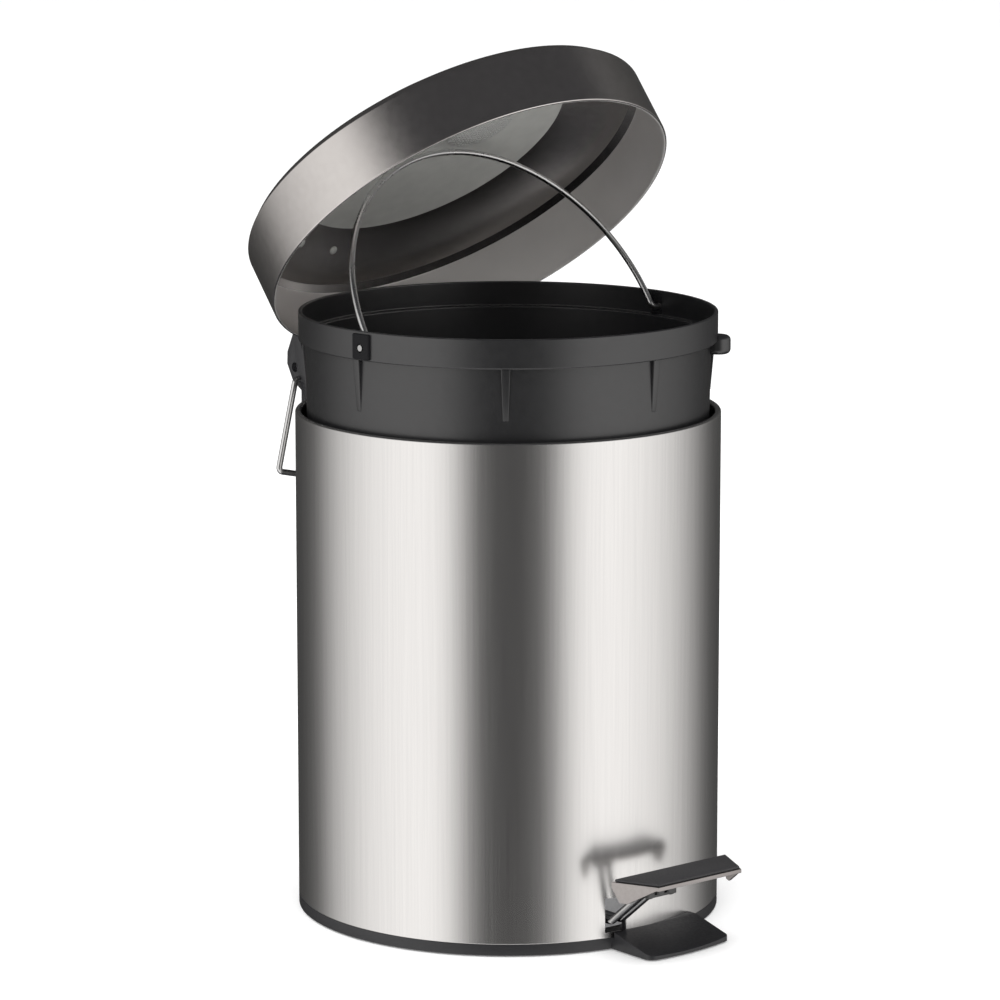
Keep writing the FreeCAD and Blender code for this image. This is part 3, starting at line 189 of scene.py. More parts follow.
floor_tone = sky_mix(sky_fade(towards, *FLOOR_SIDES), FLOOR_AWAY, FLOOR_TOWARDS)
ground = sky_mix(sky_fade(depth, *FLOOR_FADE), ceiling, floor_tone)
path = sky.nodes.new("ShaderNodeLightPath")
mirrored = sky_mix(path.outputs["Is Glossy Ray"], FILL_GREY, ground)
seen = sky_mix(path.outputs["Is Camera Ray"], mirrored, BACKDROP_GREY)
background = sky.nodes.new("ShaderNodeBackground")
background.inputs["Strength"].default_value = STUDIO_STRENGTH
sky.links.new(seen, background.inputs["Color"])
sky_out = sky.nodes.new("ShaderNodeOutputWorld")
sky.links.new(background.outputs[0], sky_out.inputs["Surface"])


def softbox(name, place, target, size, power):
    """A large soft lamp that the steel doesn't mirror."""
    data = bpy.data.lights.new(name, "AREA")
    data.shape = "SQUARE"
    data.size = size
    data.energy = power
    lamp = bpy.data.objects.new(name, data)
    bpy.context.scene.collection.objects.link(lamp)
    lamp.location = place
    lamp.rotation_euler = (Vector(target) - Vector(place)).to_track_quat("-Z", "Y").to_euler()
    lamp.visible_glossy = False


softbox("overhead_box", place=(-0.3, -0.2, 2.4), target=(0, 0, 0), size=2.2, power=30)
softbox("left_box", place=(-2.2, -0.9, 1.5), target=(0, 0, 0.15), size=1.6, power=16)

# ---------------------------------------------------------------- steel body
# A rolled tube of brushed stainless steel, welded down the back.  Its top edge is turned in and
# down, and the pedal lever passes through a slot in front and its tail through one behind.
body_low, body_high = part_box("body_shell")
BODY_RADIUS = body_high.x
BODY_FOOT = body_low.z
BODY_TOP = body_high.z
SHEET = 0.7 * MM
NEARLY_STRAIGHT = math.radians(176)
BEND_SHARE = 0.4
FLAT_SHARE = 0.12
ON_AXIS = 1e-7


def softened(outline, radius, steps=4):
    """Rounds the corners of a closed outline, with a short flat kept tight against each bend."""
    rounded = []
    for before, here, after in zip(outline[-1:] + outline[:-1], outline,
                                   outline[1:] + outline[:1]):
        here = Vector(here)
        back = Vector(before) - here
        ahead = Vector(after) - here
        if here.x < ON_AXIS or back.angle(ahead) > NEARLY_STRAIGHT:
            rounded.append(here)
            continue
        angle = back.angle(ahead)
        reach = min(radius / math.tan(angle / 2), back.length * BEND_SHARE,
                    ahead.length * BEND_SHARE)
        bend = reach * math.tan(angle / 2)
        back.normalize()
        ahead.normalize()
        centre = here + (back + ahead).normalized() * (bend / math.sin(angle / 2))
        first = here + back * reach
        last = here + ahead * reach
        rounded.append(first + back * reach * FLAT_SHARE)
        start = first - centre
        sweep = math.pi - angle
        turn = 1 if start.x * (last - centre).y - start.y * (last - centre).x > 0 else -1
        for step in range(steps + 1):
            along = turn * sweep * step / steps
            across, upward = math.cos(along), math.sin(along)
            rounded.append(centre + Vector((start.x * across - start.y * upward,
                                            start.x * upward + start.y * across)))
        rounded.append(last + ahead * reach * FLAT_SHARE)
    return rounded


def turned(name, outline, angles):
    """Turns an outline of (radius, height) about the upright axis.  Ends on the axis close."""
    verts = []
    rows = []
    for point in outline:
        if point[0] < ON_AXIS:
            rows.append([len(verts)] * len(angles))
            verts.append((0, 0, point[1]))
            continue
        row = []
        for angle in angles:
            row.append(len(verts))
            verts.append((point[0] * math.cos(angle), point[0] * math.sin(angle), point[1]))
        rows.append(row)
    faces = []
    for low, high in zip(rows, rows[1:] + rows[:1]):
        for column in range(len(angles)):
            following = (column + 1) % len(angles)
            face = [low[column], low[following], high[following], high[column]]
            face = list(dict.fromkeys(face))
            if len(face) > 2:
                faces.append(face)
    return mesh_object(name, verts, faces)


LEAST_SHARE = 0.3


def even_turn(count, extra=()):
    """Angles evenly round a circle, with some exact ones added in place of any too near them."""
    angles = [math.tau * step / count for step in range(count)]
    for angle in extra:
        angle %= math.tau
        angles = [a for a in angles if abs(a - angle) > math.tau / count * LEAST_SHARE]
        angles.append(angle)
    return sorted(angles)


WELD = 0.002 * MM


def welded(mesh):
    """A working copy of a mesh with its doubled points merged."""
    work = bmesh.new()
    work.from_mesh(mesh)
    bmesh.ops.remove_doubles(work, verts=work.verts, dist=WELD)
    return work


def stored(work, mesh):
    """Puts a working copy back into a mesh."""
    work.to_mesh(mesh)
    work.free()


def closed_up(item, smooth=35):
    """Merges doubles, points the faces outwards and shades all but the sharp edges smooth."""
    work = welded(item.data)
    bmesh.ops.recalc_face_normals(work, faces=work.faces)
    if work.calc_volume(signed=True) < 0:
        bmesh.ops.reverse_faces(work, faces=work.faces)
    stored(work, item.data)
    item.data.shade_smooth()
    item.data.set_sharp_from_angle(angle=math.radians(smooth))
    return item


def slot_angles(x_low, x_high, radius, side):
    """Where a slot's upright edges lie round the wall."""
    return [math.atan2(side * math.sqrt(radius ** 2 - x * x), x) for x in (x_low, x_high)]


lever_low, lever_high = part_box("pedal_lever")
SLOT_GAP = 0.8 * MM
SLOT_X = (lever_low.x - SLOT_GAP, lever_high.x + SLOT_GAP)
FRONT_SLOT = (7.16 * MM, 21.03 * MM)
REAR_SLOT = (0.0, 16.96 * MM)
slot_edges = slot_angles(*SLOT_X, BODY_RADIUS, -1) + slot_angles(*SLOT_X, BODY_RADIUS, 1)
LIP_IN = 2.5 * MM
LIP_DOWN = 2.4 * MM
inner_face = BODY_RADIUS - SHEET
shell_outline = softened([
    (BODY_RADIUS, BODY_FOOT),
    (BODY_RADIUS, BODY_TOP),
    (BODY_RADIUS - LIP_IN, BODY_TOP),
    (BODY_RADIUS - LIP_IN, BODY_TOP - LIP_DOWN),
    (BODY_RADIUS - LIP_IN + SHEET, BODY_TOP - LIP_DOWN),
    (BODY_RADIUS - LIP_IN + SHEET, BODY_TOP - SHEET),
    (inner_face, BODY_TOP - SHEET),
    (inner_face, BODY_FOOT),
], radius=0.9 * MM)
WALL_ROWS = (FRONT_SLOT[0], REAR_SLOT[1], FRONT_SLOT[1], 60 * MM, 100 * MM, 140 * MM, 180 * MM)
SAME_RADIUS = 0.001 * MM
SAME_HEIGHT = 0.01 * MM
SAME_ANGLE = 1e-5


def with_rows(outline, radii, heights):
    """Adds points at set heights to the upright walls of an outline."""
    made = []
    for here, after in zip(outline, outline[1:] + outline[:1]):
        made.append(here)
        low, high = sorted((here[1], after[1]))
        if (abs(here[0] - after[0]) < SAME_RADIUS
                and any(abs(here[0] - radius) < SAME_RADIUS for radius in radii)):
            inside = [row for row in heights if low + SAME_HEIGHT < row < high - SAME_HEIGHT]
            for row in sorted(inside, reverse=here[1] > after[1]):
                made.append(Vector((here[0], row)))
    return made


shell = turned("steel_body", with_rows(shell_outline, (BODY_RADIUS, inner_face), WALL_ROWS),
               even_turn(240, slot_edges))


def bearing_of(vert):
    """Where a point stands round the upright axis."""
    return math.atan2(vert.co.x, vert.co.y)


def open_slot(item, side, x_low, x_high, low, high):
    """Cuts a slot in the wall, inside it or up from its bottom edge, and closes the sheet."""
    work = welded(item.data)
    cut = []
    for face in work.faces:
        middle = face.calc_center_median()
        if middle.y * side > 0 and x_low < middle.x < x_high and low < middle.z < high:
            cut.append(face)
    bmesh.ops.delete(work, geom=cut, context="FACES")
    rim = [edge for edge in work.edges if edge.is_boundary]
    if low > 0:
        bmesh.ops.bridge_loops(work, edges=rim)
    else:
        middle_x = (x_low + x_high) / 2
        for way in (-1, 1):
            sides = [edge for edge in rim if all((v.co.x - middle_x) * way > 0 for v in edge.verts)
                     and abs(bearing_of(edge.verts[0]) - bearing_of(edge.verts[1])) < SAME_ANGLE]
            rising = sorted({v for edge in sides for v in edge.verts}, key=lambda v: v.co.z)
            sides.append(work.edges.new((rising[-1], rising[-2])))
            bmesh.ops.contextual_create(work, geom=sides)
        bmesh.ops.holes_fill(work, edges=[e for e in work.edges if e.is_boundary], sides=0)
    stored(work, item.data)


NOISE_SPREAD = (0.3, 0.7)


def noise_on(tree, scale, detail):
    """Noise over the object's own coordinates, stretched by a scale along each axis."""
    where = tree.nodes.new("ShaderNodeTexCoord")
    mapping = tree.nodes.new("ShaderNodeMapping")
    mapping.inputs["Scale"].default_value = scale
    tree.links.new(where.outputs["Object"], mapping.inputs["Vector"])
    noise = tree.nodes.new("ShaderNodeTexNoise")
    noise.inputs["Scale"].default_value = 1.0
    noise.inputs["Detail"].default_value = detail
    tree.links.new(mapping.outputs[0], noise.inputs["Vector"])
    return noise.outputs["Fac"]


def ranged(tree, value, low, high):
    """A noise value spread between two limits."""
    node = tree.nodes.new("ShaderNodeMapRange")
    node.inputs["From Min"].default_value = NOISE_SPREAD[0]
    node.inputs["From Max"].default_value = NOISE_SPREAD[1]
    node.inputs["To Min"].default_value = low
    node.inputs["To Max"].default_value = high
    tree.links.new(value, node.inputs["Value"])
    return node.outputs["Result"]


def tinted(tree, value, *colours):
    """A colour between two, by a noise value."""
    node = tree.nodes.new("ShaderNodeValToRGB")
    for element, place, colour in zip(node.color_ramp.elements, NOISE_SPREAD, colours):
        element.position = place
        element.color = (*colour, 1)
    tree.links.new(value, node.inputs[0])
    return node.outputs["Color"]


def bumped(tree, shader, value, distance, strength):
    """Raises the surface by a value."""
    node = tree.nodes.new("ShaderNodeBump")
    node.inputs["Distance"].default_value = distance
    node.inputs["Strength"].default_value = strength
    tree.links.new(value, node.inputs["Height"])
    tree.links.new(node.outputs[0], shader.inputs["Normal"])


def metal(name, grain, dark, light, smooth, rough, bump=None, metallic=1.0):
    """A metal whose grain varies its colour and its gloss, and raises it if asked."""
    material, tree, shader = new_material(name)
    streaks = noise_on(tree, grain, detail=4.0)
    tree.links.new(tinted(tree, streaks, dark, light), shader.inputs["Base Color"])
    tree.links.new(ranged(tree, streaks, smooth, rough), shader.inputs["Roughness"])
    shader.inputs["Metallic"].default_value = metallic
    if bump is not None:
        bumped(tree, shader, streaks, bump, strength=0.5)
    return material


body_finish = metal("brushed_body_steel", grain=(1400, 1400, 14), dark=(0.695, 0.685, 0.678),
                    light=(0.735, 0.725, 0.716), smooth=0.235, rough=0.255)
open_slot(shell, -1, *SLOT_X, *FRONT_SLOT)
open_slot(shell, 1, *SLOT_X, *REAR_SLOT)
closed_up(shell)
shell.data.materials.append(body_finish)
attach(shell, "housing")
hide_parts("body_shell")

# ---------------------------------------------------------------- base ring and front foot
# One black polypropylene moulding pushed up into the body, with a web underneath for the screws
# and a flat foot in front that keeps the bin from tipping when the pedal is pressed.
CLOUD_GRAIN = (22, 22, 22)


def moulded(name, dark, light, smooth, rough, bump, grain=900, specular=0.5):
    """A moulded or painted surface with faint clouds and a fine orange-peel grain."""
    material, tree, shader = new_material(name)
    clouds = noise_on(tree, CLOUD_GRAIN, detail=3.0)
    tree.links.new(tinted(tree, clouds, dark, light), shader.inputs["Base Color"])
    fine = noise_on(tree, (grain, grain, grain), detail=2.0)
    tree.links.new(ranged(tree, fine, smooth, rough), shader.inputs["Roughness"])
    shader.inputs["Specular IOR Level"].default_value = specular
    bumped(tree, shader, fine, bump, strength=0.6)
    return material


LEVEL_ANGLE = math.radians(0.6)
CREASE_ANGLE = math.radians(30)
SMOOTH_BELOW = 40


def softly_edged(work, edges, width, steps):
    """Rounds edges of a working copy."""
    bmesh.ops.bevel(work, geom=edges, offset=width, offset_type="OFFSET", segments=steps,
                    profile=0.5, affect="EDGES", clamp_overlap=True)


def refined(node, name, material, body, edge=0.15 * MM, steps=2):
    """A cleaned copy of a frame solid with its edges broken, in place of the plain one."""
    mesh = frame["nodes"][node].data.copy()
    item = bpy.data.objects.new(name, mesh)
    bpy.context.scene.collection.objects.link(item)
    mesh.materials.clear()
    work = welded(mesh)
    bmesh.ops.dissolve_limit(work, angle_limit=LEVEL_ANGLE, verts=work.verts, edges=work.edges,
                             delimit=set())
    if edge:
        softly_edged(work, [e for e in work.edges if len(e.link_faces) == 2
                            and e.calc_face_angle(0) > CREASE_ANGLE], edge, steps)
    stored(work, mesh)
    closed_up(item, SMOOTH_BELOW)
    mesh.materials.append(material)
    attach(item, body)
    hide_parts(node)
    return item


black_moulding = moulded("black_moulding", dark=(0.016, 0.016, 0.018),
                         light=(0.022, 0.022, 0.024), smooth=0.36, rough=0.48, bump=0.02 * MM)
refined("base_ring", "base_ring_and_foot", black_moulding, "housing",
        edge=0.35 * MM, steps=3)


# ---------------------------------------------------------------- rubber feet
# Four thin pads punched from black rubber sheet, with a softly rounded edge.  They are glued
# under the ring's web.
def loose_solids(node):
    """The points of each separate solid of a frame node."""
    work = welded(frame["nodes"][node].data)
    left = set(work.verts)
    solids = []
    while left:
        queue = [left.pop()]
        found = []
        while queue:
            vert = queue.pop()
            found.append(vert.co.copy())
            for edge in vert.link_edges:
                other = edge.other_vert(vert)
                if other in left:
                    left.remove(other)
                    queue.append(other)
        solids.append(found)
    work.free()
    return solids


def spans(node, axis):
    """For each solid of a node: its middle, and its lowest and highest reach along an axis."""
    found = []
    for points in loose_solids(node):
        reach = [point.dot(axis) for point in points]
        centre = Vector([(min(p[i] for p in points) + max(p[i] for p in points)) / 2
                         for i in range(3)])
        found.append((centre, min(reach), max(reach)))
    return found


def new_tree(name, sockets):
    """A node tree with a geometry in and out, and the named inputs given."""
    tree = bpy.data.node_groups.new(name, "GeometryNodeTree")
    tree.interface.new_socket("Geometry", in_out="INPUT", socket_type="NodeSocketGeometry")
    for label, kind in sockets:
        tree.interface.new_socket(label, in_out="INPUT", socket_type=f"NodeSocket{kind}")
    tree.interface.new_socket("Geometry", in_out="OUTPUT", socket_type="NodeSocketGeometry")
    return tree, tree.nodes.new("NodeGroupInput"), tree.nodes.new("NodeGroupOutput")


def put(tree, kind, links=None, **settings):
    """A node with its settings made and its inputs linked or given a value, by name."""
    node = tree.nodes.new(kind)
    for key, value in settings.items():
        setattr(node, key, value)
    for key, value in (links or {}).items():
        socket = node.inputs[key]
        if isinstance(value, bpy.types.NodeSocket):
            tree.links.new(value, socket)
        else:
            socket.default_value = value
    return node


def sums(tree, operation, first, second):
    """One arithmetic step of a tree."""
    return put(tree, "ShaderNodeMath", {0: first, 1: second}, operation=operation).outputs[0]


def spot_of(tree):
    """The place of a point of the mesh, split into its three parts."""
    place = put(tree, "GeometryNodeInputPosition").outputs[0]
    return put(tree, "ShaderNodeSeparateXYZ", {0: place}).outputs


def arrow(tree, across=0.0, ahead=0.0, up=0.0):
    """A vector from its three parts."""
    return put(tree, "ShaderNodeCombineXYZ", {0: across, 1: ahead, 2: up}).outputs[0]


def joined(tree, *parts):
    """Several geometries as one."""
    whole = put(tree, "GeometryNodeJoinGeometry")
    for part in parts:
        tree.links.new(part, whole.inputs[0])
    return whole.outputs[0]


def made_real(tree, spread):
    """Turns instances into real mesh."""
    return put(tree, "GeometryNodeRealizeInstances", {"Geometry": spread}).outputs[0]


def handed_out(tree, geometry, tree_in, tree_out):
    """Gives a tree's geometry the finish that was asked for and passes it out."""
    done = put(tree, "GeometryNodeSetMaterial",
               {"Geometry": geometry, "Material": tree_in.outputs["Finish"]})
    tree.links.new(done.outputs[0], tree_out.inputs[0])


def placed_at(tree, shape, tree_in, tree_out):
    """Sets a shape on every point that comes in, turned to the point's aim."""
    aim = put(tree, "GeometryNodeInputNamedAttribute", {"Name": "aim"}, data_type="FLOAT_VECTOR")
    turn = put(tree, "FunctionNodeAlignRotationToVector", {"Vector": aim.outputs[0]}, axis="Z")
    spread = put(tree, "GeometryNodeInstanceOnPoints",
                 {"Points": tree_in.outputs["Geometry"], "Instance": shape,
                  "Rotation": turn.outputs[0]})
    handed_out(tree, made_real(tree, spread.outputs[0]), tree_in, tree_out)


def grown(name, tree, places, aims, values):
    """Runs a tree on a set of points and keeps the result as a plain mesh object."""
    item = mesh_object(name, places, [])
    attribute = item.data.attributes.new("aim", "FLOAT_VECTOR", "POINT")
    for number, aim in enumerate(aims):
        attribute.data[number].vector = aim
    return with_tree(item, tree, values)


def with_tree(item, tree, values):
    """Applies a tree to an object, its inputs set by name, and leaves no modifier behind."""
    modifier = item.modifiers.new("Maker", "NODES")
    modifier.node_group = tree
    for socket in tree.interface.items_tree:
        if socket.in_out == "INPUT" and socket.name in values:
            modifier[socket.identifier] = values[socket.name]
    graph = bpy.context.evaluated_depsgraph_get()
    mesh = bpy.data.meshes.new_from_object(item.evaluated_get(graph))
    item.modifiers.remove(modifier)
    item.data = mesh
    return closed_up(item, SMOOTH_BELOW)


EDGE_ROUND = 4.0
EDGE_PINCH = 1.1
pad_tree, pad_in, pad_out = new_tree("Rubber Pads", [("Pad Radius", "Float"),
                                                     ("Pad Height", "Float"),
                                                     ("Finish", "Material")])
puck = put(pad_tree, "GeometryNodeMeshCylinder",
           {"Vertices": 40, "Side Segments": 4, "Fill Segments": 5,
            "Radius": pad_in.outputs["Pad Radius"], "Depth": pad_in.outputs["Pad Height"]})
spot = spot_of(pad_tree)
level = sums(pad_tree, "DIVIDE", spot[2], pad_in.outputs["Pad Height"])
nearness = sums(pad_tree, "POWER", sums(pad_tree, "ABSOLUTE", level, 0), EDGE_ROUND)
pinch = sums(pad_tree, "SUBTRACT", 1.0, sums(pad_tree, "MULTIPLY", nearness, EDGE_PINCH))
narrowed = arrow(pad_tree, sums(pad_tree, "MULTIPLY", spot[0], pinch),
                 sums(pad_tree, "MULTIPLY", spot[1], pinch), spot[2])
soft = put(pad_tree, "GeometryNodeSetPosition",
           {"Geometry": puck.outputs[0], "Position": narrowed})
placed_at(pad_tree, soft.outputs[0], pad_in, pad_out)
UP = Vector((0, 0, 1))
rubber = moulded("black_rubber", dark=(0.020, 0.020, 0.021), light=(0.030, 0.030, 0.031),
                 smooth=0.62, rough=0.80, bump=0.04 * MM)
pad_places = [centre for centre, _, _ in spans("rubber_feet", UP)]
feet = grown("rubber_pads", pad_tree, pad_places, [UP] * len(pad_places),
             {"Pad Radius": 4.0 * MM, "Pad Height": 0.6 * MM, "Finish": rubber})
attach(feet, "housing")
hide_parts("rubber_feet")

# ---------------------------------------------------------------- base pan and its screws
# A pressed zinc-plated dish that closes the body above the lever.  Four cross-headed screws go
# up through the ring's posts into it.
zinc = metal("zinc_plate", grain=(180, 180, 180), dark=(0.50, 0.50, 0.51),
             light=(0.60, 0.60, 0.62), smooth=0.30, rough=0.42, bump=0.004 * MM)
refined("base_pan", "base_pan_dish", zinc, "housing", edge=0.2 * MM)
DOME_FALL = -0.62
CROSS_REACH = 1.15
CROSS_LEVEL = 0.92


def domed_head(tree, radius, height, recess=None):
    """A round head standing on the level plane, its top domed, with a cross cut in if asked."""
    drum = put(tree, "GeometryNodeMeshCylinder",
               {"Vertices": 28, "Side Segments": 1, "Fill Segments": 5, "Radius": radius,
                "Depth": height})
    spot = spot_of(tree)
    out = sums(tree, "ADD", sums(tree, "MULTIPLY", spot[0], spot[0]),
               sums(tree, "MULTIPLY", spot[1], spot[1]))
    share = sums(tree, "DIVIDE", out, sums(tree, "MULTIPLY", radius, radius))
    fall = sums(tree, "MULTIPLY", sums(tree, "MULTIPLY", share, height), DOME_FALL)
    top = sums(tree, "GREATER_THAN", spot[2], 0.0)
    lift = sums(tree, "DIVIDE", height, 2.0)
    move = arrow(tree, up=sums(tree, "ADD", sums(tree, "MULTIPLY", fall, top), lift))
    head = put(tree, "GeometryNodeSetPosition",
               {"Geometry": drum.outputs[0], "Offset": move}).outputs[0]
    if recess is None:
        return head
    bars = []
    for turn in (0.0, math.pi / 2):
        size = arrow(tree, sums(tree, "MULTIPLY", radius, CROSS_REACH), recess, height)
        bar = put(tree, "GeometryNodeMeshCube", {"Size": size})
        raised = arrow(tree, up=sums(tree, "MULTIPLY", height, CROSS_LEVEL))
        sunk = put(tree, "GeometryNodeTransform",
                   {"Geometry": bar.outputs[0], "Translation": raised, "Rotation": (0, 0, turn)})
        bars.append(sunk.outputs[0])
    crossed = put(tree, "GeometryNodeMeshBoolean", operation="DIFFERENCE")
    tree.links.new(head, crossed.inputs[0])
    tree.links.new(joined(tree, *bars), crossed.inputs[1])
    return crossed.outputs[0]


screw_tree, screw_in, screw_out = new_tree("Cross Screws", [
    ("Head Radius", "Float"), ("Head Height", "Float"), ("Shank Radius", "Float"),
    ("Shank Length", "Float"), ("Cross Width", "Float"), ("Finish", "Material")])
screw_head = domed_head(screw_tree, screw_in.outputs["Head Radius"],
                        screw_in.outputs["Head Height"], screw_in.outputs["Cross Width"])
screw_bar = put(screw_tree, "GeometryNodeMeshCylinder",
                {"Vertices": 20, "Radius": screw_in.outputs["Shank Radius"],
                 "Depth": screw_in.outputs["Shank Length"]})
screw_drop = arrow(screw_tree, up=sums(screw_tree, "MULTIPLY", screw_in.outputs["Shank Length"],
                                       -0.5))
screw_low = put(screw_tree, "GeometryNodeTransform",
                {"Geometry": screw_bar.outputs[0], "Translation": screw_drop})
placed_at(screw_tree, joined(screw_tree, screw_head, screw_low.outputs[0]), screw_in, screw_out)
SCREW_HEAD = 1.6 * MM
screw_spans = spans("base_screws", UP)
screw_foot, screw_top = screw_spans[0][1:]
screws = grown("base_cross_screws", screw_tree,
               [Vector((centre.x, centre.y, low + SCREW_HEAD)) for centre, low, _ in screw_spans],
               [-UP] * len(screw_spans),
               {"Head Radius": 3.0 * MM, "Head Height": SCREW_HEAD, "Shank Radius": 1.4 * MM,
                "Cross Width": 0.7 * MM, "Finish": zinc,
                "Shank Length": screw_top - screw_foot - SCREW_HEAD})
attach(screws, "housing")
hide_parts("base_screws")

# ---------------------------------------------------------------- lever bracket, rivets and pivot
# A bent zinc-plated strap under the pan, held by two rivets.  Its ears carry the headed pin that
# the lever's tube turns on.
refined("lever_bracket", "lever_bracket_strap", zinc, "housing", edge=0.2 * MM)
refined("lever_pin", "lever_pivot_pin", zinc, "housing", edge=0.25 * MM)
refined("lever_tube", "lever_pivot_tube", zinc, "pedal")
rivet_tree, rivet_in, rivet_out = new_tree("Rivets", [
    ("Head Radius", "Float"), ("Head Height", "Float"), ("Shank Radius", "Float"),
    ("Grip", "Float"), ("Far Head Radius", "Float"), ("Far Head Height", "Float"),
    ("Finish", "Material")])
rivet_shank = put(rivet_tree, "GeometryNodeMeshCylinder",
                  {"Vertices": 20, "Radius": rivet_in.outputs["Shank Radius"],
                   "Depth": rivet_in.outputs["Grip"]})
rivet_parts = [rivet_shank.outputs[0]]
for label, way in (("Head", 0.5), ("Far Head", -0.5)):
    head = domed_head(rivet_tree, rivet_in.outputs[f"{label} Radius"],
                      rivet_in.outputs[f"{label} Height"])
    seat = arrow(rivet_tree, up=sums(rivet_tree, "MULTIPLY", rivet_in.outputs["Grip"], way))
    seated = put(rivet_tree, "GeometryNodeTransform",
                 {"Geometry": head, "Translation": seat,
                  "Rotation": (0 if way > 0 else math.pi, 0, 0)})
    rivet_parts.append(seated.outputs[0])
placed_at(rivet_tree, joined(rivet_tree, *rivet_parts), rivet_in, rivet_out)
RIVET_HEAD = 0.8 * MM


def riveted(node, name, body, axes, material, head=2.4 * MM, shank=1.2 * MM, far=2.4 * MM,
            far_height=RIVET_HEAD):
    """Domed rivets in place of a node's plain ones, each with its own aim and grip."""
    whole = bmesh.new()
    for number, points in enumerate(loose_solids(node)):
        axis = min(axes, key=lambda aim: max(p.dot(aim) for p in points)
                   - min(p.dot(aim) for p in points))
        reach = [point.dot(axis) for point in points]
        low, high = min(reach) + far_height, max(reach) - RIVET_HEAD
        centre = sum(points, Vector()) / len(points)
        place = centre + axis * ((low + high) / 2 - centre.dot(axis))
        rivet = grown(f"{name}_{number}", rivet_tree, [place], [axis],
                      {"Head Radius": head, "Head Height": RIVET_HEAD, "Shank Radius": shank,
                       "Grip": high - low, "Far Head Radius": far,
                       "Far Head Height": far_height, "Finish": material})
        whole.from_mesh(rivet.data)
        bpy.data.objects.remove(rivet)
    item = mesh_object(name, [], [])
    stored(whole, item.data)
    closed_up(item, SMOOTH_BELOW)
    item.data.materials.append(material)
    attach(item, body)
    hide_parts(node)


riveted("bracket_rivets", "bracket_domed_rivets", "housing", [UP], zinc)

# ---------------------------------------------------------------- pedal lever
# One bright-plated steel wire bent into a hairpin.  Its loop stands under the push rod behind the
# body, and its two ends climb from the slot and lie under the pedal, cropped and left dull.
bright_wire = metal("bright_plated_wire", grain=(80, 80, 80), dark=(0.60, 0.60, 0.60),
                    light=(0.66, 0.66, 0.66), smooth=0.15, rough=0.20)
hairpin = refined("pedal_lever", "lever_hairpin", bright_wire, "pedal", edge=0)
cut_end = metal("dull_cut_end", grain=(300, 300, 300), dark=(0.10, 0.10, 0.10),
                light=(0.15, 0.15, 0.15), smooth=0.5, rough=0.6)
hairpin.data.materials.append(cut_end)
SQUARE_ON = 0.9
for face in hairpin.data.polygons:
    if face.normal.y < -SQUARE_ON and face.center.y < lever_low.y + 0.2 * MM:
        face.material_index = 1

# ---------------------------------------------------------------- pedal
# A pressed steel plate that narrows to the front, with turned-down cheeks, riveted over the wire
# with a small saddle.  A charcoal rubber tread with a fine pebbled face is glued on top.
pedal_steel = metal("satin_pedal_steel", grain=(60, 700, 700), dark=(0.36, 0.335, 0.325),
                    light=(0.42, 0.395, 0.385), smooth=0.36, rough=0.44, bump=0.003 * MM)
refined("pedal_plate", "pedal_pressing", pedal_steel, "pedal", edge=0.3 * MM,
        steps=3)
# The saddle and the rivets under the pedal are zinc plate painted dark: painted shade where they
# lie under the pedal.
zinc_painted_shade = metal("zinc_plate_painted_shade", grain=(180, 180, 180), dark=(0.09, 0.09, 0.09),
                  light=(0.13, 0.13, 0.13), smooth=0.40, rough=0.50, bump=0.004 * MM)
refined("pedal_saddle", "pedal_wire_saddle", zinc_painted_shade, "pedal", edge=0.2 * MM)
riveted("pedal_rivets", "pedal_domed_rivets", "pedal", [-UP], zinc_painted_shade, head=1.6 * MM,
        shank=0.9 * MM, far=0.9 * MM, far_height=0.05 * MM)
tread_rubber = moulded("charcoal_tread_rubber", dark=(0.030, 0.029, 0.031),
                       light=(0.040, 0.039, 0.041), smooth=0.55, rough=0.72, bump=0.06 * MM,
                       grain=1500)
refined("pedal_tread", "pedal_rubber_tread", tread_rubber, "pedal",
        edge=0.5 * MM, steps=3)

# ---------------------------------------------------------------- push rod, its foot and its guide
# A bright wire rod that stands on the lever's loop in a plastic foot, runs in a moulded guide
# riveted low on the body, and lifts the pin under the lid's arm.
refined("push_rod", "push_rod_wire", bright_wire, "rod", edge=0.35 * MM, steps=3)
refined("rod_foot", "push_rod_foot", black_moulding, "rod", edge=0.4 * MM,
        steps=3)
refined("rod_guide", "rod_guide_moulding", black_moulding, "housing",
        edge=0.5 * MM, steps=3)
BACK = Vector((0, 1, 0))
riveted("guide_rivets", "guide_domed_rivets", "housing", [BACK], zinc)

# ---------------------------------------------------------------- hinge block
# A black moulding riveted to the back of the body.  Its two ears hold the steel hinge pin and the
# ends of the rear handle.
refined("hinge_block", "hinge_block_moulding", black_moulding, "housing",
        edge=0.6 * MM, steps=3)
riveted("hinge_rivets", "hinge_domed_rivets", "housing", [BACK], zinc)
refined("hinge_pin", "hinge_pin_bar", zinc, "housing", edge=0.3 * MM)

# ---------------------------------------------------------------- lid
# Drawn from one steel sheet: an upright skirt with a rolled rim, a sloping shoulder and a flat
# crown.  It is polished outside.  The skirt inside is a satin steel painted lighter, as painted
# light, and the face under the crown is a dull grey painted in place of the even grey that the
# steel mirrors there, as painted reflection.  It stands open on its hinge.
joints = {joint["name"]: joint for joint in frame["joints"]}
hinge = Vector(joints["lid_hinge"]["pos_m"])
OPEN_TURN = math.radians(-joints["lid_hinge"]["range_deg"][0])
opened = (Matrix.Translation(hinge) @ Matrix.Rotation(OPEN_TURN, 4, Vector((-1, 0, 0)))
          @ Matrix.Translation(-hinge))
LID_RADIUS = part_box("lid_shell")[1].x
LID_RIM = BODY_TOP + 8.5 * MM
SKIRT = 25.3 * MM
CROWN = 40.0 * MM
CROWN_RADIUS = 58.7 * MM
LID_SHEET = 0.8 * MM
SHOULDER_DROP = 3.0 * MM
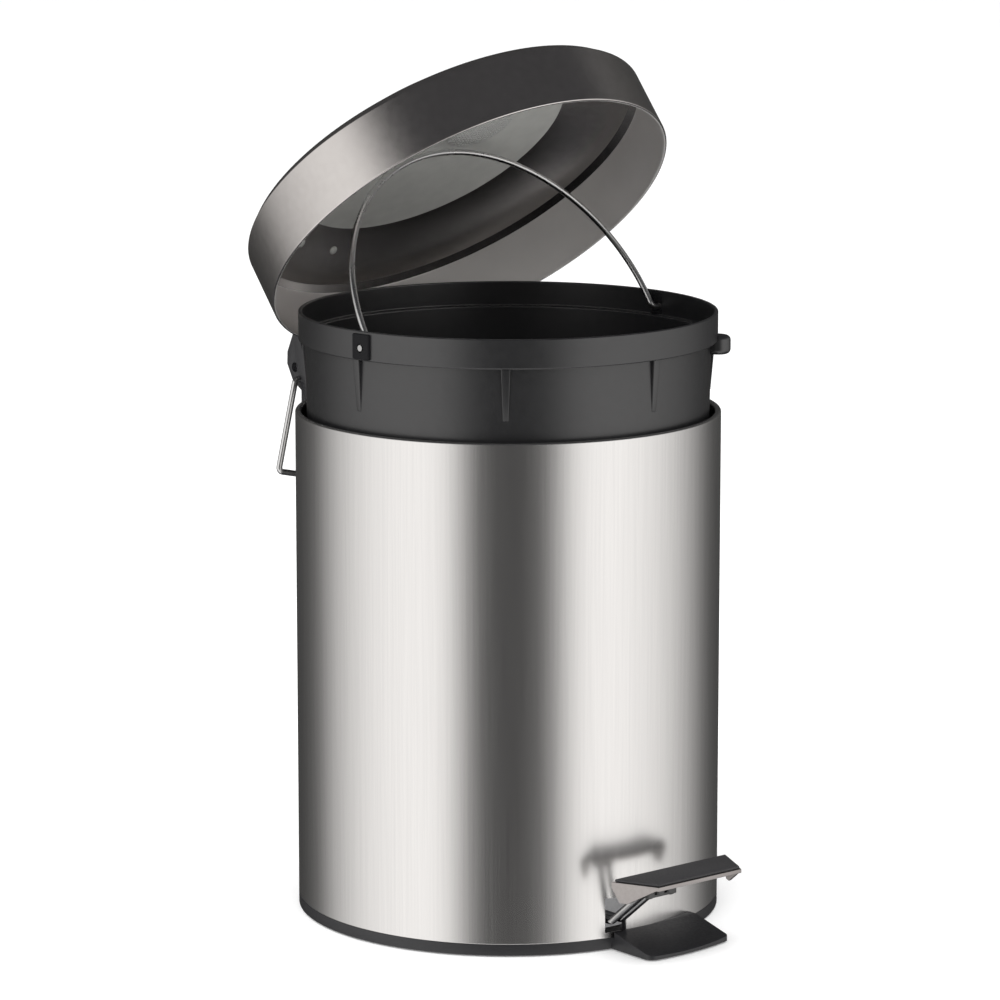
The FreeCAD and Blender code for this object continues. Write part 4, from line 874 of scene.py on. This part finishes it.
SHOULDER = LID_RADIUS - SHOULDER_DROP
BEAD = 1.3 * MM
BEAD_TALL = 1.6 * MM
UNDER_CROWN = LID_RIM + CROWN - LID_SHEET
CROWN_INSET = 0.2 * MM
SHOULDER_INSET = 0.5 * MM
SKIRT_INSET = 0.3 * MM
lid_profile = softened([
    (LID_RADIUS, LID_RIM),
    (LID_RADIUS, LID_RIM + SKIRT),
    (SHOULDER, LID_RIM + SKIRT + SHOULDER_DROP),
    (CROWN_RADIUS, LID_RIM + CROWN),
    (0, LID_RIM + CROWN),
    (0, UNDER_CROWN),
    (CROWN_RADIUS - CROWN_INSET, UNDER_CROWN),
    (SHOULDER - SHOULDER_INSET, LID_RIM + SKIRT + SHOULDER_DROP - LID_SHEET),
    (LID_RADIUS - LID_SHEET, LID_RIM + SKIRT - SKIRT_INSET),
    (LID_RADIUS - LID_SHEET, LID_RIM + BEAD_TALL),
    (LID_RADIUS - BEAD, LID_RIM + BEAD_TALL),
    (LID_RADIUS - BEAD, LID_RIM),
], radius=0.6 * MM)
lid = turned("steel_lid", lid_profile, even_turn(240))
closed_up(lid)
lid_steel = metal("polished_lid_steel", grain=(300, 300, 300), dark=(0.57, 0.545, 0.53),
                  light=(0.60, 0.575, 0.56), smooth=0.22, rough=0.25)
# A dull grey steel whose grey is painted reflection: it stands for the even grey that the steel
# under the crown mirrors, and on the lid's rivets it is painted highlight on their domes.
dull_steel_painted_reflection = metal("dull_grey_steel_painted_reflection", grain=(160, 160, 160), dark=(0.50, 0.50, 0.475),
                   light=(0.56, 0.56, 0.532), smooth=0.62, rough=0.74, metallic=0.1)
# The skirt inside is a rougher satin steel painted lighter than the lid's own steel; the lighter
# colour is painted light on the skirt inside.
inner_steel_painted_light = metal("satin_steel_inside_lid_painted_light", grain=(40, 40, 40), dark=(0.68, 0.655, 0.64),
                    light=(0.74, 0.715, 0.70), smooth=0.30, rough=0.35, metallic=0.42)
for finish in (lid_steel, dull_steel_painted_reflection, inner_steel_painted_light):
    lid.data.materials.append(finish)


def faces_axis(face):
    """Whether a face looks towards the upright axis."""
    return face.normal.xy.dot(face.center.xy) < 0


for face in lid.data.polygons:
    out = face.center.xy.length
    # Under the crown: the dull grey painted reflection.
    if (face.normal.z < -SQUARE_ON and face.center.z > UNDER_CROWN - 0.1 * MM
            and out < CROWN_RADIUS):
        face.material_index = 1
    # The upright skirt inside: the satin steel painted lighter, as painted light; the shoulder
    # inside keeps the polished steel.
    elif faces_axis(face) and out > SHOULDER and face.center.z < LID_RIM + SKIRT:
        face.material_index = 2
lid.data.transform(opened)
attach(lid, "lid")
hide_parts("lid_shell")

# ---------------------------------------------------------------- hinge arm, push pin and rivets
# A black-painted pressing that wraps the lid's skirt and shoulder.  Its knuckle turns on the hinge
# pin, its cheeks hold the push pin, and two steel rivets come through the shoulder, coloured a
# dull grey that is painted highlight on their domes.
painted = moulded("black_painted_steel", dark=(0.018, 0.018, 0.019),
                  light=(0.024, 0.024, 0.025), smooth=0.28, rough=0.38, bump=0.01 * MM, grain=600)
refined("hinge_arm", "hinge_arm_pressing", painted, "lid")
refined("push_pin", "push_pin_bar", zinc, "lid", edge=0.3 * MM)
LID_RIVET_TURNS = (11.3, 30.4)
slope = math.atan2(CROWN - SKIRT - SHOULDER_DROP, SHOULDER - CROWN_RADIUS)
rivet_axes = []
for turn in LID_RIVET_TURNS:
    aim = math.radians(90 + turn)
    normal = Vector((math.cos(aim) * math.sin(slope), math.sin(aim) * math.sin(slope),
                     math.cos(slope)))
    rivet_axes.append((opened.to_3x3() @ normal).normalized())
# The lid's rivets take the dull grey steel, its grey a painted highlight on their domes.
riveted("lid_rivets", "lid_domed_rivets", "lid", rivet_axes, dull_steel_painted_reflection, far=1.8 * MM)

# ---------------------------------------------------------------- round disc under the lid
# A thin disc of grey sheet, stuck to the underside of the crown.  It is embossed all over with
# rows of small blunt points.
disc_grey = moulded("grey_embossed_sheet", dark=(0.44, 0.44, 0.425), light=(0.56, 0.56, 0.54),
                    smooth=0.42, rough=0.58, bump=0.03 * MM, grain=1800)
refined("lid_disc", "lid_disc_sheet", disc_grey, "lid", edge=0.12 * MM)
DISC_PLACE = (17.4 * MM, -13.0 * MM, UNDER_CROWN - 0.4 * MM)
POINTS_ACROSS = 21
BLUNT = 0.4
point_tree, point_in, point_out = new_tree("Embossed Points", [
    ("Disc Radius", "Float"), ("Pitch", "Float"), ("Point Radius", "Float"),
    ("Point Height", "Float"), ("Finish", "Material")])
disc_width = sums(point_tree, "MULTIPLY", point_in.outputs["Disc Radius"], 2.0)
field = put(point_tree, "GeometryNodeMeshGrid",
            {"Size X": disc_width, "Size Y": disc_width, "Vertices X": POINTS_ACROSS,
             "Vertices Y": POINTS_ACROSS})
field_spot = put(point_tree, "ShaderNodeVectorMath",
                 {0: put(point_tree, "GeometryNodeInputPosition").outputs[0]},
                 operation="LENGTH")
edge_reach = sums(point_tree, "SUBTRACT", point_in.outputs["Disc Radius"],
                  point_in.outputs["Pitch"])
outside = sums(point_tree, "GREATER_THAN", field_spot.outputs["Value"], edge_reach)
trimmed = put(point_tree, "GeometryNodeDeleteGeometry",
              {"Geometry": field.outputs[0], "Selection": outside}, domain="POINT")
point_tip = sums(point_tree, "MULTIPLY", point_in.outputs["Point Radius"], BLUNT)
point_shape = put(point_tree, "GeometryNodeMeshCone",
                  {"Vertices": 6, "Radius Top": point_tip,
                   "Radius Bottom": point_in.outputs["Point Radius"],
                   "Depth": point_in.outputs["Point Height"]})
point_spread = put(point_tree, "GeometryNodeInstanceOnPoints",
                   {"Points": trimmed.outputs[0], "Instance": point_shape.outputs[0]})
handed_out(point_tree, made_real(point_tree, point_spread.outputs[0]), point_in, point_out)
points = with_tree(mesh_object("lid_disc_points", [(0, 0, 0)], []), point_tree,
                   {"Disc Radius": 15.4 * MM, "Pitch": 1.0 * MM, "Point Radius": 0.55 * MM,
                    "Point Height": 0.3 * MM, "Finish": disc_grey})
points.data.transform(opened @ Matrix.Translation(DISC_PLACE)
                      @ Matrix.Rotation(math.pi, 4, "X"))
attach(points, "lid")

# ---------------------------------------------------------------- inner bucket
# Injection-moulded in black polypropylene: a stepped rim band, eight tapering ribs under it, a
# round thumb lug, and a square pad around the hole for each end of the bail.
bucket_low, bucket_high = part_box("inner_bucket")
BUCKET_TOP = bucket_high.z
BUCKET_FOOT = bucket_low.z
BAND_RADIUS = 83.5 * MM
BAND_FOOT = BUCKET_TOP - 11.5 * MM
PAIL_RADIUS = 80.9 * MM
PAIL_TAPER = 3.4 * MM
PAIL_FOOT = PAIL_RADIUS - PAIL_TAPER
PAIL_WALL = 1.5 * MM
STANDING_RING = 10 * MM
STEP = 3 * MM
pail_outline = softened([
    (BAND_RADIUS, BUCKET_TOP),
    (BAND_RADIUS, BAND_FOOT),
    (PAIL_RADIUS, BAND_FOOT),
    (PAIL_FOOT, BUCKET_FOOT),
    (PAIL_FOOT - STANDING_RING, BUCKET_FOOT),
    (PAIL_FOOT - STANDING_RING, BUCKET_FOOT + STEP),
    (0, BUCKET_FOOT + STEP),
    (0, BUCKET_FOOT + STEP + PAIL_WALL),
    (PAIL_FOOT - PAIL_WALL, BUCKET_FOOT + STEP + PAIL_WALL),
    (PAIL_RADIUS - PAIL_WALL, BAND_FOOT + PAIL_WALL),
    (BAND_RADIUS - PAIL_WALL, BAND_FOOT + PAIL_WALL),
    (BAND_RADIUS - PAIL_WALL, BUCKET_TOP),
], radius=0.5 * MM)
pail = turned("bucket_pail", pail_outline, even_turn(192))
closed_up(pail)
bucket_plastic = moulded("black_polypropylene", dark=(0.010, 0.010, 0.011),
                         light=(0.013, 0.013, 0.014), smooth=0.30, rough=0.35, bump=0.003 * MM,
                         grain=300, specular=0.85)
shaded_plastic = moulded("shaded_polypropylene", dark=(0.008, 0.008, 0.009),
                         light=(0.011, 0.011, 0.012), smooth=0.55, rough=0.68, bump=0.02 * MM,
                         specular=0.12)


BLOCK_SIDES = [(0, 3, 2, 1), (4, 5, 6, 7), (0, 1, 5, 4), (1, 2, 6, 5), (2, 3, 7, 6),
               (3, 0, 4, 7)]


def cross_section(near, far, half, height):
    """Four corners of a block at one height, from its near side to its far side."""
    return [(near, -half, height), (far, -half, height), (far, half, height),
            (near, half, height)]


def block_piece(name, foot, top, edge):
    """A closed block from the cross sections at its foot and its top, with rounded edges."""
    item = mesh_object(name, foot + top, BLOCK_SIDES)
    work = bmesh.new()
    work.from_mesh(item.data)
    softly_edged(work, list(work.edges), edge, 3)
    stored(work, item.data)
    return item


RIB_HEIGHT = 20.5 * MM
RIB_HALF = 1.8 * MM
RIB_FOOT_HALF = RIB_HALF * 0.62
RIB_SUNK = 0.8 * MM
RIB_PROUD = 0.15 * MM
RIB_SET_BACK = 1.1 * MM
RIB_INTO_BAND = 0.4 * MM
rib_foot = PAIL_RADIUS - PAIL_TAPER * RIB_HEIGHT / (BAND_FOOT - BUCKET_FOOT)
rib = block_piece("bucket_rib",
                  foot=cross_section(rib_foot - RIB_SUNK, rib_foot + RIB_PROUD, RIB_FOOT_HALF,
                                     BAND_FOOT - RIB_HEIGHT),
                  top=cross_section(PAIL_RADIUS - RIB_SUNK, BAND_RADIUS - RIB_SET_BACK, RIB_HALF,
                                    BAND_FOOT + RIB_INTO_BAND), edge=0.25 * MM)
bail_place = Vector(joints["bail_swing"]["pos_m"])
bail_axis = Vector(joints["bail_swing"]["axis"])
bail_turned = Matrix.Rotation(math.atan2(bail_axis.y, bail_axis.x), 4, "Z")
rib.data.transform(bail_turned)
rib_tree, rib_in, rib_out = new_tree("Bucket Ribs", [("Rib", "Object"), ("Rib Count", "Int"),
                                                     ("Finish", "Material")])
rib_shape = put(rib_tree, "GeometryNodeObjectInfo", {"Object": rib_in.outputs["Rib"]})
rib_points = put(rib_tree, "GeometryNodePoints", {"Count": rib_in.outputs["Rib Count"]})
rib_step = sums(rib_tree, "DIVIDE", math.tau, rib_in.outputs["Rib Count"])
rib_number = put(rib_tree, "GeometryNodeInputIndex").outputs[0]
rib_turn = arrow(rib_tree, up=sums(rib_tree, "MULTIPLY", rib_number, rib_step))
rib_spread = put(rib_tree, "GeometryNodeInstanceOnPoints",
                 {"Points": rib_points.outputs[0], "Instance": rib_shape.outputs["Geometry"],
                  "Rotation": rib_turn})
handed_out(rib_tree, joined(rib_tree, rib_in.outputs["Geometry"],
                            made_real(rib_tree, rib_spread.outputs[0])), rib_in, rib_out)
with_tree(pail, rib_tree, {"Rib": rib, "Rib Count": 8, "Finish": bucket_plastic})
bpy.data.objects.remove(rib)
pail.data.materials.append(shaded_plastic)
INSIDE_FROM = PAIL_FOOT - 2 * MM
for face in pail.data.polygons:
    out = face.center.xy.length
    if (faces_axis(face) and out > INSIDE_FROM) or (face.normal.z > 0.5 and out < PAIL_FOOT):
        face.material_index = 1
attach(pail, "bucket")
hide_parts("inner_bucket")

LUG_RADIUS = 5.2 * MM
LUG_TOP = BUCKET_TOP - 9.2 * MM
LUG_HEIGHT = 7.6 * MM
LUG_REACH = 83.4 * MM
LUG_AIM = math.radians(-45)
LUG_FOOT = LUG_TOP - LUG_HEIGHT
lug_outline = softened([(0, LUG_FOOT), (LUG_RADIUS, LUG_FOOT), (LUG_RADIUS, LUG_TOP),
                        (0, LUG_TOP)], radius=3.7 * MM, steps=10)
lug = turned("bucket_thumb_lug", lug_outline, even_turn(48))
lug.data.transform(Matrix.Translation((LUG_REACH * math.cos(LUG_AIM),
                                       LUG_REACH * math.sin(LUG_AIM), 0)))
closed_up(lug, 50)
lug.data.materials.append(bucket_plastic)
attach(lug, "bucket")

PAD_HALF = 4.5 * MM
PAD_OUT = 83.97385 * MM
PAD_IN = 82.1 * MM
BORE_RADIUS = 1.75 * MM
BORE_HALF = 20 * MM
for side, label in ((-1, "left"), (1, "right")):
    foot, top = (cross_section(side * PAD_IN, side * PAD_OUT, side * PAD_HALF, height)
                 for height in (bail_place.z - PAD_HALF, BUCKET_TOP - 1.0 * MM))
    pad = block_piece(f"bail_pad_{label}", foot, top, edge=0.6 * MM)
    bore = turned(f"bail_bore_{label}", [(0, -BORE_HALF), (BORE_RADIUS, -BORE_HALF),
                                         (BORE_RADIUS, BORE_HALF), (0, BORE_HALF)], even_turn(32))
    bore.data.transform(Matrix.Translation((side * PAD_OUT, 0, bail_place.z))
                        @ Matrix.Rotation(math.pi / 2, 4, "Y"))
    closed_up(bore)
    drilled = pad.modifiers.new("Drilled", "BOOLEAN")
    drilled.object = bore
    drilled.operation = "DIFFERENCE"
    drilled.solver = "EXACT"
    graph = bpy.context.evaluated_depsgraph_get()
    pad_mesh = bpy.data.meshes.new_from_object(pad.evaluated_get(graph))
    pad.modifiers.remove(drilled)
    pad.data = pad_mesh
    bpy.data.objects.remove(bore)
    pad.data.transform(Matrix.Translation((bail_place.x, bail_place.y, 0)) @ bail_turned)
    closed_up(pad)
    pad.data.materials.clear()
    pad.data.materials.append(shaded_plastic)
    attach(pad, "bucket")

# ---------------------------------------------------------------- bail
# One thin plated wire arched over the bucket.  Its feet turn outwards through the pads and shine
# at their cut ends.
bail_wire = metal("plated_bail_wire", grain=(60, 60, 60), dark=(0.52, 0.52, 0.52),
                  light=(0.58, 0.58, 0.58), smooth=0.24, rough=0.30)
refined("bail", "bail_arch", bail_wire, "bail", edge=0)

# ---------------------------------------------------------------- rear handle
# A thicker plated wire whose ends turn into the hinge block's ears, so that it hangs against the
# back of the body.
refined("rear_handle", "rear_wire_handle", bright_wire, "handle", edge=0)
